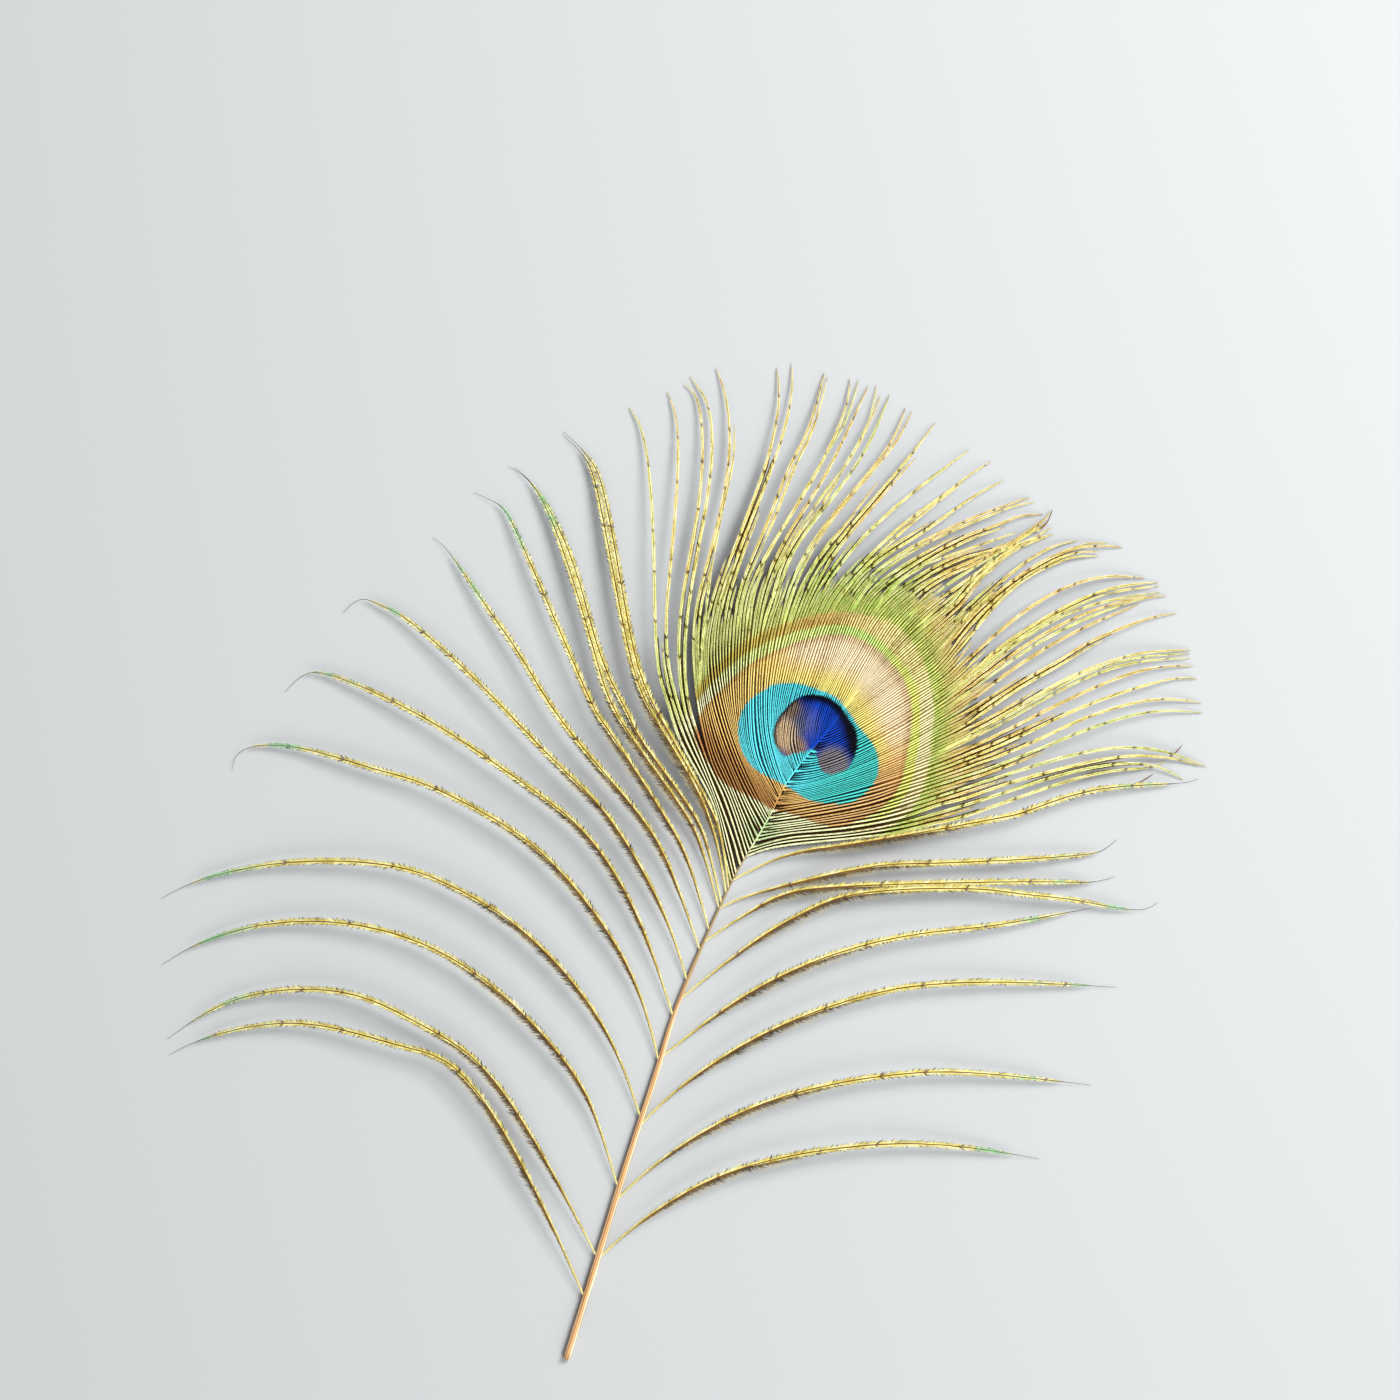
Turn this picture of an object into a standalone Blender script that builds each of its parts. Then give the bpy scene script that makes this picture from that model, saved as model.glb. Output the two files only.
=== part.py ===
# Trimmed eye end of a peacock's tail feather, lying face up on a table.
# +X is to the right and +Y toward the feather's end, as seen from above; z = 0 is the table.
# One solid: the shaft, the eye's vane of barbs laid close together, and the barbs' loose ends
# and the loose barbs below the eye as locks. All of them grow from the shaft.

import math

import bmesh
import bpy
import numpy as np
from mathutils import Vector

MM = 0.001  # the measurements below are in millimetres, the mesh is in metres

# Shaft: its centre line in plan, and its width at distances along it from the cut end.
SHAFT_LINE = [(-23.5, -99.7), (-17.3, -79.7), (-10.7, -58.3), (-5.1, -41.1), (-2.5, -32.5),
              (0.9, -23.5), (5.1, -13.9), (10.1, -3.3), (13.3, 2.3), (17.9, 10.3), (20.1, 14.9),
              (25.9, 22.7), (31.3, 29.3), (34.9, 34.3)]
SHAFT_WIDTHS = [(0.0, 1.6), (62.0, 1.1), (88.0, 0.85), (112.0, 0.7), (150.0, 0.45)]
SHAFT_HEIGHT = 0.9       # height of its cross-section, as a share of its width
SHAFT_STEP = 5.0         # distance between cross-sections
FLAT_LENGTH = 108.0      # the part of the shaft that lies flat on the table
TIP_RISE = 2.2           # how far the shaft's thin end is lifted inside the eye

# Half of the shaft's cross-section, from its flat underside to its rounded back: side, height.
SHAFT_SECTION = [(0.28, 0.0), (0.5, 0.32), (0.42, 0.78), (0.16, 1.0)]

# Barbs: each springs from the shaft, arches over the table and touches it with its tip.
ARCH = 0.04              # height of the arch, as a share of the barb's length
HIGHEST_ARCH = 3.6
LOCK_STEP = 8.0          # distance between cross-sections of a lock
TIP_LENGTH = 12.0        # the curled end, with its sections closer together
TIP_STEPS = 4
SHORTEST_BODY = 0.4      # the curled end never takes more of a lock than what is left of this share
LOOSE_WIDTHS = [(0.0, 0.6), (0.15, 1.3), (0.55, 1.7), (0.85, 1.1), (1.0, 0.35)]
FAN_WIDTHS = [(0.0, 0.5), (0.12, 1.1), (0.6, 1.15), (0.85, 0.85), (1.0, 0.35)]
LOCK_HEIGHT = 0.4        # height of a lock's diamond section, as a share of its width

# Vane: the sheet that the eye's barbs make, with a ridge along each and a valley between.
VANE_COLUMNS = 8
VANE_THICKNESS = [(0.0, 0.2), (0.15, 0.42), (1.0, 0.42)]
VANE_RIDGE = 0.13        # how far a ridge stands above the sheet's middle, and a valley below
VANE_FRINGE = 5.0        # how far each ridge runs on past the vane's edge
ROOT_INSET = 0.1         # from the shaft's centre line to the vane's root
LOCK_INSET = 3.0         # how far a lock starts inside the vane's edge
EARLIEST_LOCK = 0.3      # and no nearer to the root than this share of the vane's depth
SWELL_COLUMNS = 2        # columns over which ridges and valleys rise from the flat root

# Splines: samples along each, and how far apart, as a share of its length, its direction is read.
SPLINE_SAMPLES = 400
DIRECTION_SPAN = 0.01

# Loose barbs below the eye, from root to tip.
LOOSE_BARBS = {
    "left_low_4": [(-19.7, -87.7), (-30.7, -63.7), (-45.7, -41.1), (-56.5, -36.7), (-77.5, -32.3),
        (-97.5, -36.1), (-103.1, -38.9)],
    "left_low_3": [(-17.3, -79.7), (-40.1, -41.1), (-52.7, -32.3), (-66.9, -26.3), (-89.1, -27.5),
        (-103.5, -35.7)],
    "left_low_2": [(-13.1, -65.7), (-17.3, -52.1), (-22.9, -41.1), (-43.3, -21.1), (-66.1, -12.5),
        (-85.3, -12.9), (-98.7, -17.3), (-104.7, -20.9)],
    "left_low_1": [(-8.5, -51.9), (-16.5, -32.3), (-32.3, -13.7), (-45.3, -5.3), (-56.7, -1.1),
        (-73.7, 0.1), (-87.1, -1.3), (-98.7, -4.5), (-104.7, -7.5)],
    "left_1": [(-5.1, -40.3), (-11.5, -20.5), (-27.7, 1.1), (-40.5, 10.1), (-52.7, 15.9), (-62.3, 18.7),
        (-79.5, 23.1), (-89.1, 21.7), (-90.5, 18.3)],
    "left_2": [(-2.3, -31.3), (-9.7, -10.1), (-20.3, 6.3), (-32.3, 15.9), (-50.7, 28.1), (-71.5, 37.5),
        (-76.1, 37.3), (-79.9, 33.9)],
    "left_3": [(0.5, -23.9), (-4.3, -9.7), (-15.5, 9.5), (-24.7, 19.1), (-41.5, 36.3), (-56.7, 49.3),
        (-60.7, 51.3), (-64.5, 52.5), (-68.3, 49.7)],
    "left_4": [(3.1, -17.7), (-3.5, 0.3), (-9.5, 10.1), (-24.7, 28.7), (-32.7, 41.3), (-39.5, 51.1),
        (-47.7, 62.7), (-50.3, 64.9)],
    "left_5": [(4.7, -13.5), (0.9, -0.1), (-3.5, 8.5), (-15.3, 26.7), (-18.3, 31.7), (-34.3, 67.7),
        (-37.1, 71.5), (-42.1, 73.9)],
    "left_6": [(6.5, -9.1), (3.7, 2.3), (0.1, 9.9), (-12.7, 28.5), (-17.1, 39.5), (-23.7, 61.1),
        (-30.7, 75.9), (-35.1, 79.1)],
    "left_7": [(8.1, -6.3), (4.1, 11.1), (-5.9, 28.9), (-10.9, 42.3), (-17.3, 74.3), (-20.1, 81.3),
        (-24.3, 85.5)],
    "right_low_1": [(-9.1, -53.5), (-2.1, -46.5), (15.9, -34.5), (37.1, -26.5), (49.3, -24.5),
        (64.5, -24.1), (86.9, -25.3)],
    "right_low_2": [(-13.7, -68.5), (-6.3, -61.3), (15.3, -48.5), (44.3, -42.3), (59.3, -42.3),
        (81.7, -44.9)],
    "right_low_3": [(-17.3, -80.1), (-9.5, -72.9), (1.3, -65.7), (15.3, -60.1), (44.3, -56.3),
        (71.3, -59.7)],
    "right_1": [(-4.1, -39.5), (13.9, -25.9), (33.7, -17.3), (49.3, -14.1), (60.7, -12.9),
        (82.3, -9.3)],
    "right_2": [(-0.1, -27.9), (15.9, -14.9), (25.9, -9.3), (35.5, -6.3), (59.7, -5.5), (67.9, -6.5),
        (78.1, -7.7), (91.7, -9.7), (95.1, -8.3)],
    "right_3": [(4.5, -16.3), (18.5, -7.3), (27.1, -5.3), (49.3, -4.3), (75.3, -4.1), (82.3, -4.1),
        (86.5, -3.1)],
    "right_4": [(7.3, -9.7), (13.3, -6.9), (37.1, -1.1), (49.3, -0.3), (81.3, 1.5), (84.5, 2.5),
        (86.9, 4.3)],
    "right_5": [(10.1, -3.9), (20.5, 1.1), (33.7, 3.5), (61.7, 8.5), (67.9, 9.9), (82.3, 14.3),
        (99.9, 15.7), (103.3, 16.5)],
}

# Barbs of the eye, clockwise from its lower left: first the points inside the vane, from the
# root to the vane's edge, then those of the loose end.
EYE_BARBS = {
    "left_8": ([(9.5, -4.1), (7.7, 4.3), (5.7, 12.3), (-0.5, 24.1)], [(-3.1, 31.7), (-4.9, 38.1),
        (-5.9, 60.3), (-8.3, 85.9), (-10.9, 90.9)]),
    "left_9": ([(10.3, -2.3), (6.5, 12.3), (1.3, 24.9)], [(-3.1, 40.3), (-2.5, 60.3), (-1.3, 87.1),
        (-3.3, 94.1)]),
    "left_10": ([(10.9, -0.7), (9.3, 6.3), (2.1, 24.9)], [(-0.1, 32.3), (-0.7, 48.3), (3.3, 73.7),
        (2.5, 92.9), (0.1, 95.5)]),
    "left_11": ([(11.7, 0.5), (7.7, 13.7), (5.1, 19.3), (2.9, 25.3)], [(0.9, 32.3), (0.7, 48.3),
        (4.9, 73.7), (5.5, 87.9), (3.9, 93.5), (1.3, 97.1)]),
    "left_12": ([(12.5, 1.5), (8.7, 13.3), (5.9, 19.3), (2.9, 32.3)], [(2.3, 48.3), (5.5, 62.3),
        (9.1, 81.3), (8.3, 93.5), (6.5, 98.9)]),
    "eye_1": ([(15.9, 7.7), (11.7, 15.9), (7.3, 27.3), (4.9, 39.3)], [(7.3, 54.5), (16.1, 78.3),
        (19.1, 92.9), (18.7, 98.9)]),
    "eye_2": ([(16.7, 9.1), (10.3, 23.9), (6.7, 42.3)], [(10.1, 59.1), (19.1, 82.9), (21.7, 94.7),
        (21.7, 99.7)]),
    "eye_3": ([(17.3, 10.1), (11.5, 23.9), (9.9, 43.3)], [(11.7, 55.3), (16.1, 66.1), (21.5, 79.5),
        (24.7, 85.9), (28.3, 97.9)]),
    "eye_4": ([(17.9, 11.3), (12.3, 24.3), (11.9, 46.3)], [(13.9, 56.1), (25.7, 76.3), (32.7, 91.7),
        (33.3, 96.7)]),
    "eye_5": ([(18.5, 12.5), (15.3, 18.7), (13.7, 24.7), (13.5, 36.3), (14.5, 46.3)], [(16.5, 55.9),
        (21.9, 66.9), (27.7, 76.1), (37.1, 95.3)]),
    "eye_6": ([(19.5, 13.7), (17.3, 18.5), (15.3, 28.3), (16.1, 44.3)], [(18.5, 52.3), (21.5, 61.1),
        (29.3, 72.1), (36.9, 83.3), (41.3, 93.5)]),
    "eye_7": ([(20.5, 15.3), (17.1, 27.9), (19.1, 46.3)], [(25.3, 62.9), (40.5, 82.3), (44.5, 90.9)]),
    "eye_8": ([(21.1, 16.3), (19.7, 19.3), (18.3, 27.9), (21.9, 46.7)], [(28.5, 60.7), (42.7, 77.9),
        (50.5, 87.9)]),
    "eye_9": ([(21.7, 17.3), (19.5, 25.3), (22.5, 39.3), (24.9, 47.5)], [(33.7, 62.3), (57.3, 82.5)]),
    "eye_10": ([(22.7, 18.5), (21.5, 21.7), (21.1, 25.3), (27.7, 47.9)], [(31.3, 54.5), (42.7, 66.3),
        (52.3, 73.5), (56.7, 76.9), (61.7, 80.1)]),
    "eye_11": ([(23.9, 20.1), (22.9, 27.3), (26.7, 39.7), (29.7, 48.3)], [(36.9, 58.3), (47.9, 65.9),
        (57.9, 72.9), (64.3, 76.3)]),
    "eye_12": ([(24.9, 21.3), (24.3, 24.7), (24.9, 29.1), (29.1, 40.5), (31.9, 48.7)], [(39.7, 58.9),
        (63.5, 70.9), (69.5, 72.9)]),
    "eye_13": ([(25.9, 22.7), (26.7, 30.1), (32.1, 41.5), (35.5, 49.3)], [(39.7, 54.9), (56.7, 65.1),
        (62.7, 67.3), (67.5, 69.1), (72.1, 69.5)]),
    "eye_14": ([(27.3, 24.5), (32.5, 37.9), (34.9, 41.9), (39.3, 49.3)], [(50.1, 57.9), (56.7, 60.9),
        (63.1, 62.7), (69.7, 66.1), (73.9, 70.3)]),
    "eye_15": ([(29.7, 27.3), (38.5, 43.3), (42.7, 49.3)], [(51.3, 56.3), (57.3, 59.1), (73.1, 67.9)]),
    "axis": ([(34.9, 34.3), (45.3, 47.3)], [(53.3, 53.9), (63.3, 60.9), (67.7, 63.7), (74.3, 65.5)]),
    "eye_16": ([(33.7, 32.7), (46.5, 44.7)], [(54.5, 51.7), (57.9, 55.7), (71.9, 68.3)]),
    "eye_17": ([(31.3, 29.3), (48.9, 42.7)], [(67.1, 58.9), (74.9, 63.3), (79.1, 64.3)]),
    "eye_18": ([(29.1, 26.3), (37.3, 31.1), (44.9, 36.5), (50.3, 40.3)], [(57.3, 48.7), (76.1, 61.9),
        (88.1, 62.9)]),
    "eye_19": ([(27.1, 24.1), (29.7, 24.7), (45.7, 34.5), (51.3, 38.1)], [(64.1, 53.1), (73.1, 59.1),
        (78.3, 60.9), (83.3, 61.1)]),
    "eye_20": ([(25.5, 21.9), (28.5, 22.3), (52.3, 36.3)], [(55.7, 39.3), (69.7, 51.1), (80.9, 56.3),
        (86.9, 57.1), (92.5, 56.7)]),
    "eye_21": ([(23.7, 19.7), (27.5, 20.3), (52.1, 33.7)], [(63.1, 42.7), (82.7, 53.7), (95.3, 55.9)]),
    "eye_22": ([(22.3, 17.7), (27.5, 18.7), (37.3, 22.7), (52.3, 31.5)], [(65.3, 41.1), (78.3, 48.7),
        (91.3, 52.7), (96.9, 53.1)]),
    "eye_23": ([(20.9, 15.7), (27.5, 16.9), (52.1, 28.9)], [(65.3, 38.1), (78.3, 45.9), (91.3, 51.5)]),
    "eye_24": ([(20.1, 14.3), (27.5, 15.7), (45.7, 22.9), (50.5, 25.7)], [(55.7, 28.3), (67.1, 35.7),
        (74.9, 40.1), (80.9, 43.7), (93.5, 48.7), (98.9, 49.7)]),
    "eye_25": ([(19.1, 12.7), (23.7, 13.1), (37.3, 16.9), (50.1, 22.3)], [(63.1, 28.9), (76.1, 36.3),
        (89.1, 41.1), (95.7, 42.1), (101.7, 42.3)]),
    "eye_26": ([(18.3, 11.5), (23.7, 11.9), (49.7, 19.7)], [(69.7, 28.9), (91.3, 38.1), (102.3, 39.1)]),
    "eye_27": ([(17.7, 10.1), (37.3, 13.9), (49.3, 17.9)], [(63.3, 23.3), (78.3, 30.3), (97.9, 36.5),
        (102.9, 36.5)]),
    "eye_28": ([(16.9, 8.7), (37.3, 12.5), (42.5, 14.3), (49.3, 16.3)], [(69.7, 23.9), (78.3, 27.9),
        (93.5, 32.3), (103.9, 31.7)]),
    "eye_29": ([(16.3, 7.3), (37.3, 10.9), (49.3, 14.9)], [(63.3, 19.5), (78.3, 25.5), (93.5, 29.9),
        (104.1, 29.7)]),
    "eye_30": ([(15.5, 5.7), (37.3, 9.1), (44.3, 10.9)], [(65.9, 17.9), (84.3, 22.5), (95.7, 22.1),
        (104.9, 18.9)]),
    "right_8": ([(14.7, 4.1), (20.3, 5.5), (30.1, 6.5), (44.3, 9.1)], [(51.3, 11.5), (55.5, 12.5),
        (63.7, 15.3), (84.3, 20.5), (92.5, 21.1), (99.3, 20.3), (103.5, 19.1)]),
    "right_7": ([(13.7, 2.5), (21.3, 4.7), (30.1, 5.5), (44.9, 8.1)], [(64.3, 13.9), (82.3, 18.9),
        (94.1, 19.1), (100.3, 16.3)]),
    "right_6": ([(12.7, 0.9), (18.3, 2.9), (41.3, 5.7)], [(49.3, 7.5), (55.5, 8.9), (82.3, 17.5),
        (93.7, 18.9), (96.5, 20.1)]),
}

# Colours and finish: the average of the green, gold and brown barbs.
FEATHER_COLOUR = (0.42, 0.34, 0.10, 1.0)
FEATHER_ROUGHNESS = 0.45
FEATHER_METALLIC = 0.3


def clear_scene():
    for item in list(bpy.data.objects):
        bpy.data.objects.remove(item, do_unlink=True)


def smooth_line(points):
    """A natural cubic spline through the points, sampled evenly along its length."""
    points = np.array(points, dtype=float)
    count = len(points)
    chords = np.hypot(*np.diff(points, axis=0).T)
    knots = np.concatenate([[0.0], np.cumsum(np.sqrt(chords))])
    gaps = np.diff(knots)
    slopes = np.diff(points, axis=0) / gaps[:, None]
    system = np.eye(count)
    target = np.zeros((count, 2))
    for i in range(1, count - 1):
        system[i, i - 1:i + 2] = gaps[i - 1], 2 * (gaps[i - 1] + gaps[i]), gaps[i]
        target[i] = 3 * (slopes[i] - slopes[i - 1])
    bends = np.linalg.solve(system, target)
    where = np.linspace(0.0, knots[-1], SPLINE_SAMPLES)
    span = np.clip(np.searchsorted(knots, where, side="right") - 1, 0, count - 2)
    step = (where - knots[span])[:, None]
    gap = gaps[span][:, None]
    first = slopes[span] - gap * (2 * bends[span] + bends[span + 1]) / 3
    third = (bends[span + 1] - bends[span]) / (3 * gap)
    curve = points[span] + first * step + bends[span] * step ** 2 + third * step ** 3
    along = arc_lengths(curve)
    even = np.linspace(0.0, along[-1], SPLINE_SAMPLES)
    return np.column_stack([np.interp(even, along, curve[:, 0]),
                            np.interp(even, along, curve[:, 1])])


def arc_lengths(line):
    return np.concatenate([[0.0], np.cumsum(np.hypot(*np.diff(line, axis=0).T))])


def tip_height(widths):
    """Half the height of a lock's last cross-section: its middle when it touches the table."""
    return 0.5 * LOCK_HEIGHT * widths[-1][1]


def from_table(table, place):
    """A value read from a table of (place, value) pairs."""
    places, values = zip(*table)
    return float(np.interp(place, places, values))


def ease(share):
    share = min(max(share, 0.0), 1.0)
    return share * share * (3.0 - 2.0 * share)


class Line:
    """A line in plan that can be asked for its place and its direction at a distance along it."""

    def __init__(self, points):
        self.plan = smooth_line(points)
        self.along = arc_lengths(self.plan)
        self.length = self.along[-1]

    def place(self, distance):
        x = np.interp(distance, self.along, self.plan[:, 0])
        y = np.interp(distance, self.along, self.plan[:, 1])
        return float(x), float(y)

    def direction(self, distance):
        span = DIRECTION_SPAN * self.length
        start = np.clip(distance - 0.5 * span, 0.0, self.length - span)
        x0, y0 = self.place(start)
        x1, y1 = self.place(start + span)
        size = math.hypot(x1 - x0, y1 - y0)
        return (x1 - x0) / size, (y1 - y0) / size

    def nearest(self, point):
        away = np.hypot(self.plan[:, 0] - point[0], self.plan[:, 1] - point[1])
        return float(self.along[int(np.argmin(away))])


class Shaft(Line):
    def width(self, distance):
        return from_table(SHAFT_WIDTHS, distance)

    def underside(self, distance):
        rise = (distance - FLAT_LENGTH) / (self.length - FLAT_LENGTH)
        return TIP_RISE * ease(rise)

    def middle(self, distance):
        return self.underside(distance) + 0.5 * SHAFT_HEIGHT * self.width(distance)


class Barb(Line):
    """A barb that springs from the shaft's centre line, arches and comes down on its tip."""

    def __init__(self, shaft, points, edge_point=None):
        self.root_distance = shaft.nearest(points[0])
        root = shaft.place(self.root_distance)
        super().__init__([root] + list(points[1:]))
        self.root_height = shaft.middle(self.root_distance)
        self.arch = min(ARCH * self.length, HIGHEST_ARCH)
        self.edge = self.nearest(edge_point) if edge_point else 0.0

    def height(self, distance, widths):
        share = distance / self.length
        straight = self.root_height * (1 - share) + tip_height(widths) * share
        return straight + 4 * self.arch * share * (1 - share)


def closed_tube(name, rings):
    """A closed solid through cross-sections that all have the same number of corners."""
    mesh = bpy.data.meshes.new(name)
    build = bmesh.new()
    loops = [[build.verts.new(Vector(corner) * MM) for corner in ring] for ring in rings]
    for near, far in zip(loops, loops[1:]):
        for i in range(len(near)):
            j = (i + 1) % len(near)
            build.faces.new((near[i], near[j], far[j], far[i]))
    build.faces.new(loops[0])
    build.faces.new(loops[-1])
    bmesh.ops.recalc_face_normals(build, faces=build.faces)
    build.to_mesh(mesh)
    build.free()
    solid = bpy.data.objects.new(name, mesh)
    bpy.context.collection.objects.link(solid)
    return solid


def make_shaft(shaft):
    steps = round(shaft.length / SHAFT_STEP)
    outline = SHAFT_SECTION + [(-side, height) for side, height in reversed(SHAFT_SECTION)]
    rings = []
    for distance in np.linspace(0.0, shaft.length, steps + 1):
        x, y = shaft.place(distance)
        ahead, up = shaft.direction(distance)
        width = shaft.width(distance)
        base = shaft.underside(distance)
        rings.append([(x - up * side * width, y + ahead * side * width,
                       base + height * SHAFT_HEIGHT * width) for side, height in outline])
    return closed_tube("shaft", rings)


def lock_distances(start, end):
    """Places of a lock's cross-sections, closer together in its curled end."""
    body_end = max(end - TIP_LENGTH, start + SHORTEST_BODY * (end - start))
    steps = max(2, round((body_end - start) / LOCK_STEP))
    body = np.linspace(start, body_end, steps + 1)
    tip = np.linspace(body_end, end, TIP_STEPS + 1)
    return np.concatenate([body, tip[1:]])


def make_lock(name, barb, start, widths, lift):
    """A lock with a diamond section: a ridge on top, a keel below and two thin edges."""
    rings = []
    for distance in lock_distances(start, barb.length):
        share = (distance - start) / (barb.length - start)
        half_width = 0.5 * from_table(widths, share)
        half_height = LOCK_HEIGHT * half_width
        x, y = barb.place(distance)
        ahead, up = barb.direction(distance)
        z = barb.height(distance, widths) + lift * (1 - share)
        rings.append([(x - up * half_width, y + ahead * half_width, z),
                      (x, y, z + half_height),
                      (x + up * half_width, y - ahead * half_width, z),
                      (x, y, z - half_height)])
    return closed_tube(name, rings)


def vane_row(shaft, barb, side):
    """Points of the vane along one barb: x, y, the height of its middle and its half thickness."""
    row = []
    for column in range(VANE_COLUMNS):
        share = column / (VANE_COLUMNS - 1)
        distance = share * barb.edge
        x, y = barb.place(distance)
        if column == 0:
            ahead, up = shaft.direction(barb.root_distance)
            x -= up * ROOT_INSET * side
            y += ahead * ROOT_INSET * side
        thickness = from_table(VANE_THICKNESS, share)
        row.append((x, y, barb.height(distance, FAN_WIDTHS), 0.5 * thickness))
    return row


def vane_fringe(barb):
    distance = barb.edge + VANE_FRINGE
    x, y = barb.place(distance)
    return x, y, barb.height(distance, FAN_WIDTHS)


def between(row_a, row_b):
    return [tuple(0.5 * (a + b) for a, b in zip(one, other)) for one, other in zip(row_a, row_b)]


def make_vane(shaft, barbs):
    """One closed sheet whose rows follow the barbs, ridge and valley by turns."""
    names = list(barbs)
    middle = names.index("axis")
    sides = [1 if i < middle else -1 if i > middle else 0 for i in range(len(names))]
    ridges = [vane_row(shaft, barbs[name], side) for name, side in zip(names, sides)]
    rows = []
    for i, ridge in enumerate(ridges):
        rows.append((ridge, VANE_RIDGE))
        if i + 1 < len(ridges):
            rows.append((between(ridge, ridges[i + 1]), -VANE_RIDGE))

    build = bmesh.new()
    top = []
    bottom = []
    for row, lift in rows:
        upper = []
        lower = []
        for column, (x, y, z, half) in enumerate(row):
            swell = lift * min(1.0, column / SWELL_COLUMNS)
            upper.append(build.verts.new(Vector((x, y, z + swell + half)) * MM))
            lower.append(build.verts.new(Vector((x, y, z + swell - half)) * MM))
        top.append(upper)
        bottom.append(lower)
    for i in range(len(rows) - 1):
        for j in range(VANE_COLUMNS - 1):
            build.faces.new((top[i][j], top[i][j + 1], top[i + 1][j + 1], top[i + 1][j]))
            build.faces.new((bottom[i][j], bottom[i + 1][j], bottom[i + 1][j + 1], bottom[i][j + 1]))
        build.faces.new((top[i][0], top[i + 1][0], bottom[i + 1][0], bottom[i][0]))
    for j in range(VANE_COLUMNS - 1):
        build.faces.new((top[0][j], bottom[0][j], bottom[0][j + 1], top[0][j + 1]))
        build.faces.new((top[-1][j], top[-1][j + 1], bottom[-1][j + 1], bottom[-1][j]))
    close_edge(build, top, bottom, [vane_fringe(barbs[name]) for name in names])
    bmesh.ops.recalc_face_normals(build, faces=build.faces)
    mesh = bpy.data.meshes.new("vane")
    build.to_mesh(mesh)
    build.free()
    vane = bpy.data.objects.new("vane", mesh)
    bpy.context.collection.objects.link(vane)
    return vane


def close_edge(build, top, bottom, fringe):
    """The vane's outer edge: each ridge runs out to a point, and the valleys stay back."""
    last = VANE_COLUMNS - 1
    points = [build.verts.new(Vector((x, y, z + VANE_RIDGE)) * MM) for x, y, z in fringe]
    for i, point in enumerate(points):
        row = 2 * i
        if i > 0:
            build.faces.new((top[row - 1][last], top[row][last], point))
            build.faces.new((bottom[row][last], bottom[row - 1][last], point))
            build.faces.new((bottom[row - 1][last], top[row - 1][last], point))
        else:
            build.faces.new((top[row][last], bottom[row][last], point))
        if i + 1 < len(points):
            build.faces.new((top[row][last], top[row + 1][last], point))
            build.faces.new((bottom[row + 1][last], bottom[row][last], point))
            build.faces.new((top[row + 1][last], bottom[row + 1][last], point))
        else:
            build.faces.new((bottom[row][last], top[row][last], point))


def feather_material():
    material = bpy.data.materials.new("feather")
    material.use_nodes = True
    shader = material.node_tree.nodes["Principled BSDF"]
    shader.inputs["Base Color"].default_value = FEATHER_COLOUR
    shader.inputs["Roughness"].default_value = FEATHER_ROUGHNESS
    shader.inputs["Metallic"].default_value = FEATHER_METALLIC
    return material


def fuse(base, others, name):
    """Joins the solids that grow together into one closed body."""
    group = bpy.data.collections.new("grown_together")
    for item in others:
        bpy.context.collection.objects.unlink(item)
        group.objects.link(item)
    bpy.context.scene.collection.children.link(group)
    union = base.modifiers.new("union", "BOOLEAN")
    union.operation = "UNION"
    union.solver = "EXACT"
    union.operand_type = "COLLECTION"
    union.collection = group
    depsgraph = bpy.context.evaluated_depsgraph_get()
    mesh = bpy.data.meshes.new_from_object(base.evaluated_get(depsgraph))
    for item in others + [base]:
        bpy.data.objects.remove(item, do_unlink=True)
    bpy.data.collections.remove(group)
    mesh.name = name
    body = bpy.data.objects.new(name, mesh)
    bpy.context.collection.objects.link(body)
    return body


def make_feather():
    shaft = Shaft(SHAFT_LINE)
    loose = {name: Barb(shaft, points) for name, points in LOOSE_BARBS.items()}
    eye = {name: Barb(shaft, inner + outer, inner[-1])
           for name, (inner, outer) in EYE_BARBS.items()}
    pieces = [make_vane(shaft, eye)]
    for name, barb in loose.items():
        pieces.append(make_lock(name, barb, 0.0, LOOSE_WIDTHS, 0.0))
    for name, barb in eye.items():
        start = max(barb.edge - LOCK_INSET, EARLIEST_LOCK * barb.edge)
        pieces.append(make_lock(name, barb, start, FAN_WIDTHS, VANE_RIDGE))
    feather = fuse(make_shaft(shaft), pieces, "feather")
    feather.data.materials.clear()
    feather.data.materials.append(feather_material())
    return feather


clear_scene()
make_feather()
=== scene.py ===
import math

import bpy
import numpy as np
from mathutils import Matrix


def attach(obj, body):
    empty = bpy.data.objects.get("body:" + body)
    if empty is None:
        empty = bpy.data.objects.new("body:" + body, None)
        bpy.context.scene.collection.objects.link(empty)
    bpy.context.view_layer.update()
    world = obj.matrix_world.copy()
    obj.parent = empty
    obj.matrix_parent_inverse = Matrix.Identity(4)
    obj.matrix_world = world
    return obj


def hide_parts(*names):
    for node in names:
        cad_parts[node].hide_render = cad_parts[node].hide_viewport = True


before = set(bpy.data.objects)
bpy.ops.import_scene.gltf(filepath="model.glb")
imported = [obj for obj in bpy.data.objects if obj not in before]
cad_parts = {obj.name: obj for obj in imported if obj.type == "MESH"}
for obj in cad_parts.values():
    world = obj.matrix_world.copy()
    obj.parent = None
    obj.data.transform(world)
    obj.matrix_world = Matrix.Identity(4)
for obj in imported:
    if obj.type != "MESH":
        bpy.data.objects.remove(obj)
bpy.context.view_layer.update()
bpy.ops.object.select_all(action="DESELECT")

mm = 0.001  # plan measurements are in millimetres, the meshes in metres
rng = np.random.default_rng(7)

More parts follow.
